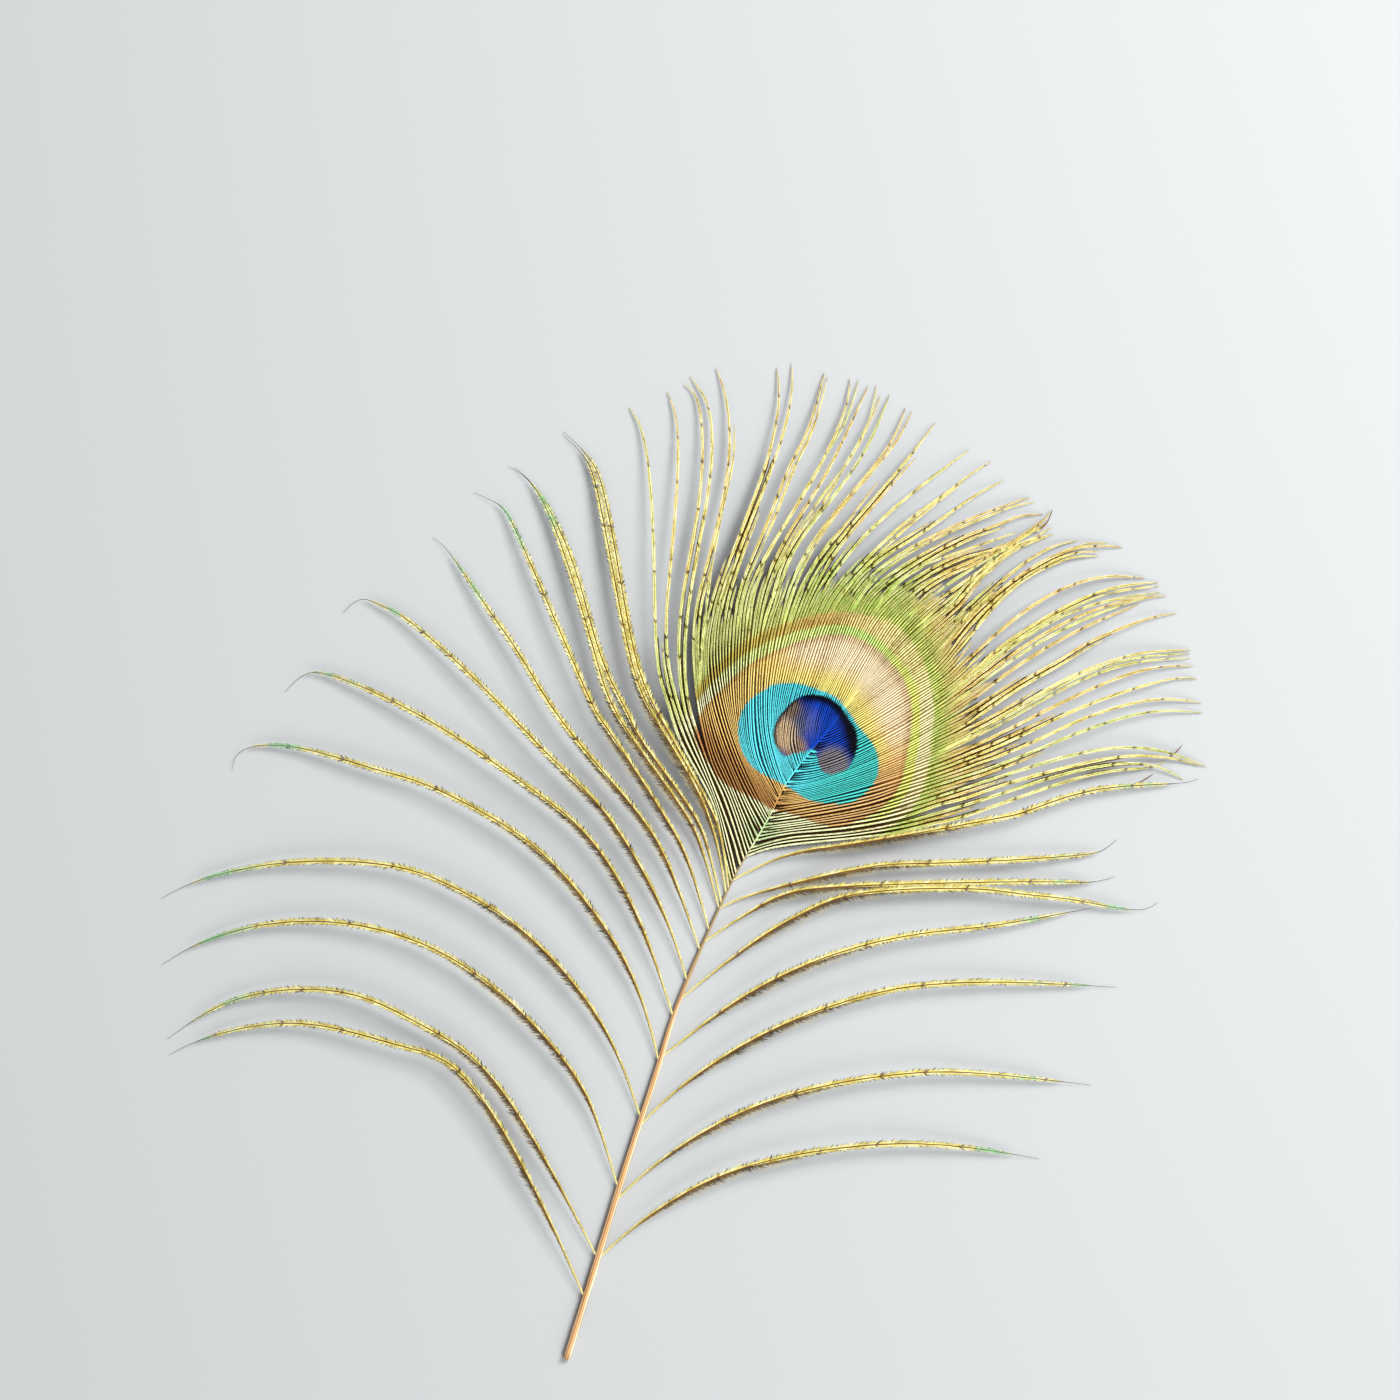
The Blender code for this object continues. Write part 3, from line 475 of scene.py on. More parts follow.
def neighbourRoom(strands):
    # for each sample of a strand, the distance to the strands on its left and on its right
    count = fanShape["neighbours"]
    for i, strand in enumerate(strands):
        sides = strands[max(i - count, 0):i], strands[i + 1:i + 1 + count]
        alone = np.full(len(strand["xy"]), fanShape["farAway"])
        strand["rooms"] = [distances(strand, others) if others else alone for others in sides]


loose = looseStrands()
fan = eyeStrands()
hideCrowded(fan)
neighbourRoom(fan)
extras = extraStrands()
for strand in extras:
    strand["rooms"] = [distances(strand, fan + [other for other in extras if other is not strand])] * 2
hairs = hairStrands()
shaftTop = shaftStrands()
fanTurn = [strand["name"] for strand in fan].index("axis")
leftNames = {strand["name"] for strand in fan[:fanTurn]}
leftNames |= {name for name, (host, share, points) in extraBarbs.items() if host in leftNames}
print("barbs:", len(loose), "loose,", len(fan), "in the fan,", len(extras), "extra")


# the eye's outlines, from the dark middle out, each clockwise from its left
eyeMiddle = (26.3, 27.5)
eyeOutlines = [
    # the dark heart
    [(17.9, 24.9), (18.2, 27.1), (19.4, 29.4), (21.1, 31.4), (22.7, 32.7), (24.7, 33.4), (26.8, 33.4),
     (28.5, 33.0), (30.4, 31.9), (32.0, 30.3), (33.2, 28.4), (34.4, 26.5), (34.8, 24.8), (34.8, 23.4),
     (34.5, 21.8), (33.7, 19.9), (32.3, 18.3), (30.7, 17.7), (29.1, 17.4), (27.9, 18.0), (27.2, 18.9),
     (26.8, 20.2), (26.6, 21.5), (26.3, 22.6), (25.2, 22.4), (23.5, 21.8), (21.9, 21.5), (20.6, 21.1),
     (19.5, 21.5), (18.9, 22.4), (18.2, 23.7)],
    # the teal field
    [(11.0, 25.7), (11.6, 29.7), (13.6, 32.5), (15.7, 33.9), (17.8, 35.2), (20.0, 35.6), (22.2, 35.6),
     (23.8, 35.3), (25.4, 34.7), (26.9, 34.2), (28.5, 33.7), (30.1, 32.8), (31.5, 31.6), (32.9, 29.9),
     (34.0, 28.2), (35.1, 26.7), (36.4, 25.2), (37.8, 23.4), (38.8, 20.7), (38.6, 17.2), (36.8, 14.3),
     (34.3, 12.2), (30.7, 11.6), (27.2, 11.8), (24.3, 12.7), (20.9, 14.9), (16.4, 17.2), (13.6, 19.3),
     (11.8, 22.2)],
    # the bronze oval
    [(2.2, 24.7), (3.9, 30.4), (7.9, 34.8), (11.4, 38.2), (16.1, 41.1), (20.7, 43.2), (25.0, 44.7),
     (29.7, 45.5), (33.6, 45.2), (37.9, 43.2), (41.1, 40.4), (43.6, 37.2), (45.2, 33.6), (45.7, 29.3),
     (45.4, 25.0), (44.5, 20.7), (43.6, 16.4), (41.4, 12.5), (38.6, 10.0), (34.3, 7.9), (30.7, 6.8),
     (27.2, 7.5), (23.6, 8.8), (20.7, 9.7), (17.9, 10.2), (14.7, 12.2), (11.1, 13.9), (7.2, 16.4),
     (4.7, 20.0)],
    # the lime ring's outside
    [(1.0, 24.7), (2.9, 31.9), (6.9, 36.9), (10.6, 40.1), (15.4, 43.1), (20.2, 45.1), (24.9, 46.5),
     (29.9, 47.2), (34.3, 46.6), (38.4, 44.6), (41.8, 41.8), (44.6, 38.2), (46.5, 34.5), (47.1, 29.8),
     (47.1, 24.6), (46.3, 20.0), (45.4, 15.6), (42.9, 11.3), (39.6, 8.5), (34.9, 6.3), (30.6, 5.3),
     (26.6, 6.2), (23.2, 7.5), (20.2, 8.7), (17.3, 9.2), (13.9, 11.0), (10.1, 12.7), (6.0, 15.2),
     (3.2, 19.2)],
    # the outer bronze ring's outside
    [(-0.2, 24.7), (1.9, 33.4), (5.7, 38.7), (9.4, 42.1), (14.4, 45.2), (19.5, 47.3), (24.7, 48.9),
     (30.1, 49.9), (35.4, 49.6), (40.6, 48.2), (43.9, 46.2), (46.4, 43.2), (48.2, 39.6), (49.5, 35.0),
     (50.1, 29.8), (49.5, 24.3), (48.9, 19.0), (47.8, 14.4), (45.0, 9.7), (41.0, 6.7), (35.7, 4.4),
     (30.5, 3.3), (25.9, 4.5), (22.6, 5.9), (19.6, 7.3), (16.5, 8.0), (13.0, 9.6), (9.0, 11.2),
     (4.7, 13.8), (1.6, 18.2)],
]


def outlineRadii(points):
    # an outline's distance from the eye's middle, every degree round
    closed = np.array(points[-3:] + points + points[:4], float) - eyeMiddle
    line = smoothLine(closed, 1500)
    angle = np.arctan2(line[:, 1], line[:, 0])
    radius = np.hypot(line[:, 0], line[:, 1])
    wrapped = np.concatenate([angle - 2 * math.pi, angle, angle + 2 * math.pi])
    order = np.argsort(wrapped)
    return np.interp(np.radians(np.arange(-180, 181)), wrapped[order], np.tile(radius, 3)[order])


outlineTable = np.array([outlineRadii(points) for points in eyeOutlines])


def ringAt(x, y):
    # 0 in the eye's middle, 1 at the heart's outline, 2 at the teal's, and so on outward
    dx, dy = x - eyeMiddle[0], y - eyeMiddle[1]
    degrees = np.degrees(np.arctan2(dy, dx)) + 180
    radius = np.hypot(dx, dy)
    limits = [np.interp(degrees, np.arange(361), row) for row in outlineTable]
    ring = np.clip(radius / limits[0], 0, 1)
    for inner, outer in zip(limits, limits[1:]):
        ring += np.clip((radius - inner) / np.maximum(outer - inner, 0.1), 0, 1)
    return ring + np.maximum(radius - limits[-1], 0) / 10


def meshArrays(piece):
    # takes a modelled piece apart into its corners and faces
    corners = np.array([corner.co[:] for corner in piece.data.vertices])
    faces = [tuple(face.vertices) for face in piece.data.polygons]
    bpy.data.objects.remove(piece, do_unlink=True)
    return corners, faces


barbuleShape = {
    "halfWidth": 0.58,       # of the cone that every barbule is a copy of, which is 1 long
    "shake": 0.3,            # how far a barbule strays from even spacing
    "sideShift": 0.1,        # how far the breaks of a barb's two rows lie apart, halved
    "wander": 0.05,          # how far a row wanders sideways on a loose end
    "loosens": 3.0,          # length past the vane's edge over which the rows come apart
    "joinedRoom": (-0.26, -0.14),  # minus the room in which two barbs count as joined, far and near
    "fuller": (0.04, 6.0, 16.0),  # how much wider the rows of the loose ends grow, and where
    "uncovers": 2.5,         # length over which a hidden barb's rows grow to their full reach
    "shortest": 0.03,
    "lowest": 0.01,          # no barbule reaches lower than this over the table
    "tight": (0.6, 0.3, 0.2),     # glint in the vane: its middle, the barb's part, the barbule's part
    "sparkling": (0.25, 0.45, 0.25),  # glint of a loose end: its least, the slow part, the quick part
    "glintRun": 1.6,         # how fast the slow part changes along a barb
    "offsetRun": 2.5,
    "nearBreak": (0.5, 0.3),  # the glint fades within this of a break, down to this share
}


def makeBarbule():
    # one barbule: a three-sided cone laid along X with its base at 0
    bpy.ops.mesh.primitive_cone_add(vertices=3, radius1=barbuleShape["halfWidth"], radius2=0.0, depth=1.0)
    bpy.ops.object.mode_set(mode="EDIT")
    bpy.ops.transform.rotate(value=-math.pi / 2, orient_axis="Y", center_override=(0, 0, 0))
    bpy.ops.transform.rotate(value=math.pi / 2, orient_axis="X", center_override=(0, 0, 0))
    bpy.ops.transform.translate(value=(0.5, 0, 0))
    bpy.ops.object.mode_set(mode="OBJECT")
    return meshArrays(bpy.context.object)


def makeRod(cuts):
    # one barb's shaft: a four-sided rod laid along X from 0 to 1, cut across for bending
    bpy.ops.mesh.primitive_cylinder_add(vertices=4, radius=1.0, depth=1.0, end_fill_type="NGON")
    rod = bpy.context.object
    bpy.ops.object.mode_set(mode="EDIT")
    bpy.ops.transform.rotate(value=-math.pi / 2, orient_axis="Y", center_override=(0, 0, 0))
    bpy.ops.transform.translate(value=(0.5, 0, 0))
    bpy.ops.mesh.select_mode(type="EDGE")
    bpy.ops.mesh.select_all(action="DESELECT")
    bpy.ops.object.mode_set(mode="OBJECT")
    for edge in rod.data.edges:
        ends = [rod.data.vertices[i].co.x for i in edge.vertices]
        edge.select = abs(ends[0] - ends[1]) > 0.5
    bpy.ops.object.mode_set(mode="EDIT")
    bpy.ops.mesh.subdivide(number_cuts=cuts)
    bpy.ops.mesh.select_mode(type="VERT")
    bpy.ops.object.mode_set(mode="OBJECT")
    return meshArrays(rod)


leafCorners, leafFaces = makeBarbule()
leafFaces = np.array(leafFaces)


looksDown = -0.1  # a face whose normal's height is less than this belongs to the underside


def meshPiece(name, corners, faces, values, material):
    # joins arrays of corners and faces into one piece, with named values kept on its corners
    mesh = bpy.data.meshes.new(name)
    mesh.from_pydata(corners * mm, [], faces)
    for key, value in values.items():
        layer = mesh.attributes.new(key, "FLOAT", "POINT")
        layer.data.foreach_set("value", np.asarray(value, dtype=np.float32))
    mesh.materials.append(material)
    mesh.update()
    # the faces that look down, which are plain brown on a real feather
    normals = np.empty(3 * len(mesh.polygons), dtype=np.float32)
    mesh.polygons.foreach_get("normal", normals)
    under = mesh.attributes.new("under", "FLOAT", "FACE")
    under.data.foreach_set("value", (normals[2::3] < looksDown).astype(np.float32))
    piece = bpy.data.objects.new(name, mesh)
    bpy.context.collection.objects.link(piece)
    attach(piece, "root")
    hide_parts("feather")
    print(name, "faces:", len(mesh.polygons))
    return piece


def waver(count, pitch, scale):
    # a smooth random run between 0 and 1, for what changes slowly along a barb
    knots = rng.uniform(0, 1, int(count * pitch / scale) + 3)
    return np.interp(np.arange(count) * pitch / scale, np.arange(len(knots)), knots)


def barbuleRow(strand, side, look, start, end):
    # a row of barbules along one side of a barb, between two distances from its root
    count = int((end - start) / look["pitch"])
    if count < 2:
        return None
    edge, own = strand["edge"], barbuleShape
    shaken = rng.uniform(-own["shake"], own["shake"], count)
    at = start + (np.arange(count) + shaken) * look["pitch"]
    share = at / strand["length"]
    loosened = smoothStep(at, edge, edge + own["loosens"])

    def sample(values):
        return np.interp(at, strand["along"], values)

    xy = np.column_stack([sample(strand["xy"][:, 0]), sample(strand["xy"][:, 1])])
    ahead = np.column_stack([sample(strand["ahead"][:, 0]), sample(strand["ahead"][:, 1])])
    left = np.column_stack([-ahead[:, 1], ahead[:, 0]]) * side
    reach = look["reach"] * tableValue(look["grow"], share)
    if "rooms" in strand:
        room = sample(strand["rooms"][1 if side < 0 else 0])
        close = smoothStep(-room, *own["joinedRoom"])
        joined = look["least"] + (look["reach"] - look["least"]) * close * loosened
        fill = look["fill"] * (loosened + (1 - loosened) * strand.get("slim", 1.0))
        wider, first, last = own["fuller"]
        fill = fill + wider * smoothStep(at, edge + first, edge + last)
        reach = np.minimum(reach, np.maximum(fill * room, joined))
    if strand.get("from", 0.0) and "rooms" in strand:
        reach *= smoothStep(at, strand["from"], strand["from"] + own["uncovers"])
    reach *= rng.uniform(1 - look["ragged"], 1 + 0.5 * look["ragged"], count)
    nearest = np.abs(at[:, None] - strand["breaks"][None, :] - own["sideShift"] * side).min(axis=1)
    keep = (nearest > 0.5 * look["breakWidth"]) & (reach > own["shortest"])
    lean = np.radians(rng.uniform(*look["lean"], count))
    drop = rng.uniform(*look["drop"], count)
    flat = ahead * np.cos(lean)[:, None] + left * np.sin(lean)[:, None]
    way = np.column_stack([flat * np.sqrt(1 - drop ** 2)[:, None], drop]) * (reach / np.sin(lean))[:, None]
    middle, byBarb, byBarbule = own["tight"]
    tight = middle + byBarb * (strand["tone"] - 0.5) + byBarbule * rng.uniform(-1, 1, count)
    lowest, slow, quick = own["sparkling"]
    slowly = waver(count, look["pitch"], own["glintRun"])
    sparkling = lowest + slow * slowly + quick * rng.uniform(0, 1, count)
    within, dimmest = own["nearBreak"]
    sparkling *= np.clip(nearest / within, dimmest, 1.0)
    glint = tight * (1 - loosened) + sparkling * loosened
    wander = own["wander"] * (waver(count, look["pitch"], own["offsetRun"]) - 0.5)
    offset = look["offset"] + wander * loosened
    base = np.column_stack([xy + left * offset[:, None], sample(strand["z"]) + look["lift"]])
    row = {"base": base, "way": way, "across": np.column_stack([ahead, np.zeros(count)]),
           "width": np.full(count, look["width"]), "share": share, "glint": glint,
           "row": np.full(count, look["row"]), "tone": np.full(count, strand["tone"])}
    return {key: value[keep] for key, value in row.items()}


def joinRows(name, rows, look, material):
    # copies the barbule to every place of the rows and joins the copies into one piece
    rows = [row for row in rows if row is not None and len(row["base"])]
    join = {key: np.concatenate([row[key] for row in rows]) for key in rows[0]}
    count = len(join["base"])
    way = join["way"]
    across = join["across"] * join["width"][:, None]
    up = np.array([0.0, 0.0, look["thickness"]])
    corners = (join["base"][:, None, :] + leafCorners[None, :, 0:1] * way[:, None, :]
               + leafCorners[None, :, 1:2] * across[:, None, :] + leafCorners[None, :, 2:3] * up)
    faces = leafFaces[None, :, :] + 4 * np.arange(count)[:, None, None]
    mirrored = way[:, 0] * across[:, 1] - way[:, 1] * across[:, 0] < 0
    faces[mirrored] = faces[mirrored][:, :, ::-1]
    corners = corners.reshape(-1, 3)
    corners[:, 2] = np.maximum(corners[:, 2], barbuleShape["lowest"])
    values = {key: np.repeat(join[key], 4) for key in ("share", "glint", "row", "tone")}
    values["outer"] = np.tile(leafCorners[:, 0], count)
    values["ring"] = np.repeat(ringAt(join["base"][:, 0], join["base"][:, 1]), 4)
    return meshPiece(name, corners, faces.reshape(-1, 3).tolist(), values, material)


def layRods(name, strands, look, material):
    # copies the rod along every barb of the list and joins the copies into one piece
    rodCorners, rodFaces = makeRod(look["cuts"])
    corners, faces, shares = [], [], []
    for number, strand in enumerate(strands):
        first = strand.get("from", 0.0)
        at = first + (strand["length"] - first) * rodCorners[:, 0]

        def sample(values):
            return np.interp(at, strand["along"], values)

        share = at / strand["length"]
        radius = 0.5 * tableValue(look["widths"], share)
        thick = radius * look["flat"]
        if "fill" in look:
            # where the neighbours are near, a ribbon reaches them; elsewhere it stays slim
            room = np.where(rodCorners[:, 1] > 0, sample(strand["rooms"][0]), sample(strand["rooms"][1]))
            reached = look["fill"] * room * (1 - smoothStep(room, *look["apart"]))
            radius = np.minimum(radius, np.maximum(reached, look["slim"]))
        x = sample(strand["xy"][:, 0]) + sample(strand["left"][:, 0]) * rodCorners[:, 1] * radius
        y = sample(strand["xy"][:, 1]) + sample(strand["left"][:, 1]) * rodCorners[:, 1] * radius
        z = np.maximum(sample(strand["z"]) + look["lift"], thick) + rodCorners[:, 2] * thick
        corners.append(np.column_stack([x, y, z]))
        shares.append(share)
        faces += [tuple(i + number * len(rodCorners) for i in face) for face in rodFaces]
    corners = np.concatenate(corners)
    values = {"share": np.concatenate(shares), "ring": ringAt(corners[:, 0], corners[:, 1])}
    values["glint"] = values["tone"] = np.full(len(corners), 0.5)
    return meshPiece(name, corners, faces, values, material)


def paint(code):
    # a screen colour such as #c8b040 as the linear colour that a shader takes
    parts = [int(code[i:i + 2], 16) / 255 for i in (1, 3, 5)]
    return [part / 12.92 if part <= 0.04045 else ((part + 0.055) / 1.055) ** 2.4 for part in parts] + [1.0]


def startMaterial(name, look):
    material = bpy.data.materials.new(name)
    material.use_nodes = True
    shader = material.node_tree.nodes["Principled BSDF"]
    for socket, value in look.items():
        shader.inputs[socket].default_value = value
    return material, material.node_tree, shader


def attributeValue(tree, name):
    node = tree.nodes.new("ShaderNodeAttribute")
    node.attribute_name = name
    return node.outputs["Fac"]


def calculate(tree, operation, a, b=0.0):
    node = tree.nodes.new("ShaderNodeMath")
    node.operation = operation
    for socket, value in zip(node.inputs, (a, b)):
        if isinstance(value, (int, float)):
            socket.default_value = value
        else:
            tree.links.new(value, socket)
    return node.outputs[0]


def mapValue(tree, value, low, high, toLow=0.0, toHigh=1.0):
    node = tree.nodes.new("ShaderNodeMapRange")
    node.interpolation_type = "SMOOTHSTEP"
    tree.links.new(value, node.inputs["Value"])
    for key, number in (("From Min", low), ("From Max", high), ("To Min", toLow), ("To Max", toHigh)):
        node.inputs[key].default_value = number
    return node.outputs["Result"]


def mixColours(tree, factor, a, b, mode="MIX"):
    node = tree.nodes.new("ShaderNodeMix")
    node.data_type = "RGBA"
    node.blend_type = mode
    for socket, value in ((node.inputs["Factor"], factor), (node.inputs[6], a), (node.inputs[7], b)):
        if isinstance(value, str):
            socket.default_value = paint(value)
        elif isinstance(value, (int, float)):
            socket.default_value = value
        else:
            tree.links.new(value, socket)
    return node.outputs[2]


def colourRamp(tree, value, stops):
    node = tree.nodes.new("ShaderNodeValToRGB")
    ramp = node.color_ramp
    ramp.elements[0].position = stops[0][0]
    ramp.elements[1].position = stops[-1][0]
    for place, code in stops[1:-1]:
        ramp.elements.new(place)
    for element, (place, code) in zip(ramp.elements, stops):
        element.color = paint(code)
    tree.links.new(value, node.inputs["Fac"])
    return node.outputs["Color"]


def objectPlace(tree):
    return tree.nodes.new("ShaderNodeTexCoord").outputs["Object"]


def fromEye(tree, degrees, start, end):
    # grows from 0 to 1 along a direction in plan, counted in millimetres from the eye's middle
    node = tree.nodes.new("ShaderNodeVectorMath")
    node.operation = "DOT_PRODUCT"
    tree.links.new(objectPlace(tree), node.inputs[0])
    way = (math.cos(math.radians(degrees)), math.sin(math.radians(degrees)))
    node.inputs[1].default_value = (way[0], way[1], 0)
    middle = eyeMiddle[0] * way[0] + eyeMiddle[1] * way[1]
    return mapValue(tree, node.outputs["Value"], (middle + start) * mm, (middle + end) * mm)


def nearSpot(tree, x, y, inner, outer):
    # 1 within the inner distance of a point in plan, 0 past the outer one
    flat = tree.nodes.new("ShaderNodeVectorMath")
    flat.operation = "MULTIPLY"
    flat.inputs[1].default_value = (1, 1, 0)
    tree.links.new(objectPlace(tree), flat.inputs[0])
    node = tree.nodes.new("ShaderNodeVectorMath")
    node.operation = "DISTANCE"
    tree.links.new(flat.outputs[0], node.inputs[0])
    node.inputs[1].default_value = (x * mm, y * mm, 0)
    return mapValue(tree, node.outputs["Value"], inner * mm, outer * mm, 1.0, 0.0)


def noise(tree, scale):
    # scale is the size of its grain in millimetres
    node = tree.nodes.new("ShaderNodeTexNoise")
    node.inputs["Scale"].default_value = 1 / (scale * mm)
    node.inputs["Detail"].default_value = 2.0
    tree.links.new(objectPlace(tree), node.inputs["Vector"])
    return node.outputs["Fac"]


eyeColours = {
    "royal": "#1048c6", "violet": "#5460b4", "navy": "#04051a", "mauve": "#b49480", "ash": "#948c90",
    "slate": "#74789c", "taupe": "#8a7462", "under": "#4e3a22",
    "tan": "#e0be96", "teal": "#54e2ec", "cyan": "#6cf4ff", "seaGreen": "#52e0d4", "bronze": "#ffd078",
    "amber": "#ffe084", "straw": "#fff48c", "rose": "#fff0cc", "umber": "#c48c4c", "copper": "#ecbe7c",
    "lime": "#fbffc8", "leaf": "#ccf088", "citron": "#ecf884", "grass": "#e4fa98", "honey": "#e4c470",
    "cream": "#f8f4ac", "clay": "#c8985c", "oldGold": "#ccbc58", "green": "#b4d060", "yellowGreen": "#f0ea8c",
    "gold": "#f2e684", "paleGold": "#fcf8c8", "warmGold": "#ecd078", "pear": "#d8e084", "mint": "#a4d890",
}


def between(tree, *factors):
    # the product of several factors
    product = factors[0]
    for factor in factors[1:]:
        product = calculate(tree, "MULTIPLY", product, factor)
    return product


def turned(tree, colour, turns):
    # a colour that changes round the eye: direction, where the change starts and ends, new colour
    for degrees, start, end, name in turns:
        colour = mixColours(tree, fromEye(tree, degrees, start, end), colour, eyeColours[name])
    return colour


# the heart's soft spots: place in plan, the radii where one starts and stops to fade, colour
heartSpots = [
    (23.6, 27.8, 1.6, 5.0, "violet"), (22.0, 27.2, 1.0, 3.8, "slate"), (21.0, 30.8, 1.4, 3.8, "taupe"),
    (22.2, 22.8, 1.4, 3.4, "mauve"), (19.2, 25.6, 2.2, 4.6, "tan"), (29.8, 19.4, 2.2, 4.8, "ash"),
]


def eyeColour(tree):
    # the eye's rings by the ring value, each with its own change of colour round the eye
    c = eyeColours
    grain = calculate(tree, "MULTIPLY", calculate(tree, "SUBTRACT", noise(tree, 0.5), 0.5), 0.12)
    ring = calculate(tree, "ADD", attributeValue(tree, "ring"), grain)

    heart = c["royal"]
    for x, y, inner, outer, name in heartSpots:
        heart = mixColours(tree, nearSpot(tree, x, y, inner, outer), heart, c[name])
    side = between(tree, fromEye(tree, 12, 3.8, 6.4), nearSpot(tree, 29.8, 18.6, 5.4, 3.0))
    rim = between(tree, mapValue(tree, ring, 0.62, 0.88), fromEye(tree, 60, 0.5, 4.5))
    thinRim = between(tree, mapValue(tree, ring, 0.86, 0.97), fromEye(tree, 140, 0.0, 4.0))
    heart = mixColours(tree, calculate(tree, "MAXIMUM", between(tree, thinRim, 0.9), rim), heart, c["navy"])
    heart = mixColours(tree, side, heart, c["navy"])

    teal = turned(tree, c["teal"], [(200, -2.0, 12.0, "cyan"), (-40, 3.0, 12.0, "seaGreen")])

    inward = mapValue(tree, ring, 2.0, 2.7, 1.0, 0.0)
    oval = turned(tree, c["bronze"], [(70, -12.0, 6.0, "amber")])
    oval = mixColours(tree, between(tree, inward, fromEye(tree, 50, -4.0, 6.0)), oval, c["straw"])
    outward = mapValue(tree, ring, 2.15, 2.6)
    oval = mixColours(tree, between(tree, outward, fromEye(tree, 48, 2.0, 11.0)), oval, c["rose"])
    oval = turned(tree, oval, [(-60, 9.0, 18.0, "copper"), (225, 13.0, 18.0, "umber")])
    oval = mixColours(tree, mapValue(tree, ring, 2.78, 2.96, 0.0, 0.45), oval, c["umber"])

    lime = turned(tree, c["lime"], [(90, 4.0, 16.0, "grass"), (40, 8.0, 18.0, "leaf"),
                                    (-8, 8.0, 18.0, "citron")])
    outer = turned(tree, c["honey"], [(10, 4.0, 20.0, "cream")])
    flecks = between(tree, mapValue(tree, noise(tree, 0.7), 0.48, 0.62), 0.5)
    outer = mixColours(tree, flecks, outer, c["clay"])
    outer = mixColours(tree, between(tree, fromEye(tree, -25, 14.0, 20.0), 0.8), outer, c["paleGold"])
    outer = turned(tree, outer, [(170, 2.0, 14.0, "oldGold"), (235, 9.0, 16.0, "lime")])
    chevron = nearSpot(tree, 15.6, 6.0, 1.5, 5.0)

    patches = between(tree, mapValue(tree, noise(tree, 0.9), 0.4, 0.65), 0.45)
    beyond = mixColours(tree, patches, c["green"], c["yellowGreen"])
    beyond = turned(tree, beyond, [(165, 2.0, 18.0, "pear"), (240, 10.0, 18.0, "lime")])
    tone = attributeValue(tree, "tone")
    golden = mixColours(tree, mapValue(tree, tone, 0.3, 0.8), c["gold"], c["warmGold"])
    golden = mixColours(tree, mapValue(tree, tone, 0.05, 0.25, 1.0, 0.0), golden, c["pear"])
    warm = between(tree, mapValue(tree, noise(tree, 3.0), 0.5, 0.7), 0.3)
    golden = mixColours(tree, warm, golden, c["clay"])
    aside = between(tree, mapValue(tree, ring, 5.0, 5.6), fromEye(tree, -15, 8.0, 20.0))
    far = calculate(tree, "MAXIMUM", mapValue(tree, ring, 5.6, 7.0), aside)
    beyond = mixColours(tree, far, beyond, golden)

    colour = mixColours(tree, mapValue(tree, ring, 0.97, 1.03), heart, teal)
    colour = mixColours(tree, mapValue(tree, ring, 1.98, 2.04), colour, oval)
    colour = mixColours(tree, mapValue(tree, ring, 2.92, 3.08), colour, lime)
    colour = mixColours(tree, mapValue(tree, ring, 3.85, 4.15), colour, outer)
    colour = mixColours(tree, mapValue(tree, ring, 4.8, 5.1), colour, beyond)
    return mixColours(tree, between(tree, chevron, mapValue(tree, ring, 3.0, 3.3), 0.6), colour, c["mint"])


def eyeBarbuleMaterial():
    look = {"Roughness": 0.4, "Metallic": 0.0, "Specular IOR Level": 0.08}
    material, tree, shader = startMaterial("eyeBarbules", look)
    glint = attributeValue(tree, "glint")
    far = mapValue(tree, attributeValue(tree, "ring"), 4.8, 6.0)
    # glint: random tone in the vane, painted sparkle on the loose ends, and pale gold painted highlights past
    # the eye
    light = mixColours(tree, mapValue(tree, glint, 0.1, 0.65), "#887448", "#ffffff")
    colour = mixColours(tree, 1.0, eyeColour(tree), light, "MULTIPLY")
    pale = between(tree, mapValue(tree, glint, 0.55, 0.9), far, 0.75)
    colour = mixColours(tree, pale, colour, eyeColours["paleGold"])
    # painted shade at the barbules' ends, darkest in the teal field and least in the pale part of the oval
    ring = attributeValue(tree, "ring")
    paleSide = between(tree, mapValue(tree, ring, 2.0, 2.4), fromEye(tree, 48, 0.0, 8.0))
    ends = mixColours(tree, mapValue(tree, ring, 1.9, 2.1), "#1c5062", "#74501c")
    ends = mixColours(tree, paleSide, ends, "#d8c4a0")
    dark = mixColours(tree, mapValue(tree, attributeValue(tree, "outer"), 0.5, 1.0), "#ffffff", ends)
    colour = mixColours(tree, 1.0, colour, dark, "MULTIPLY")
    colour = mixColours(tree, attributeValue(tree, "under"), colour, eyeColours["under"])
    tree.links.new(colour, shader.inputs["Base Color"])
    return material


def eyeShaftMaterial():
    material, tree, shader = startMaterial("eyeBarbs", {"Roughness": 0.45, "Metallic": 0.0})
    ring = attributeValue(tree, "ring")
    paleSide = between(tree, mapValue(tree, ring, 2.0, 2.2), fromEye(tree, 48, -3.0, 8.0))
    near = mixColours(tree, mapValue(tree, paleSide, 0.0, 1.0, 0.7, 0.25), eyeColour(tree), "#1c1206")
    far = mixColours(tree, mapValue(tree, attributeValue(tree, "share"), 0.8, 1.0), "#7a5626", "#8e6c34")
    colour = mixColours(tree, mapValue(tree, ring, 4.9, 5.3), near, far)
    tree.links.new(colour, shader.inputs["Base Color"])
    return material


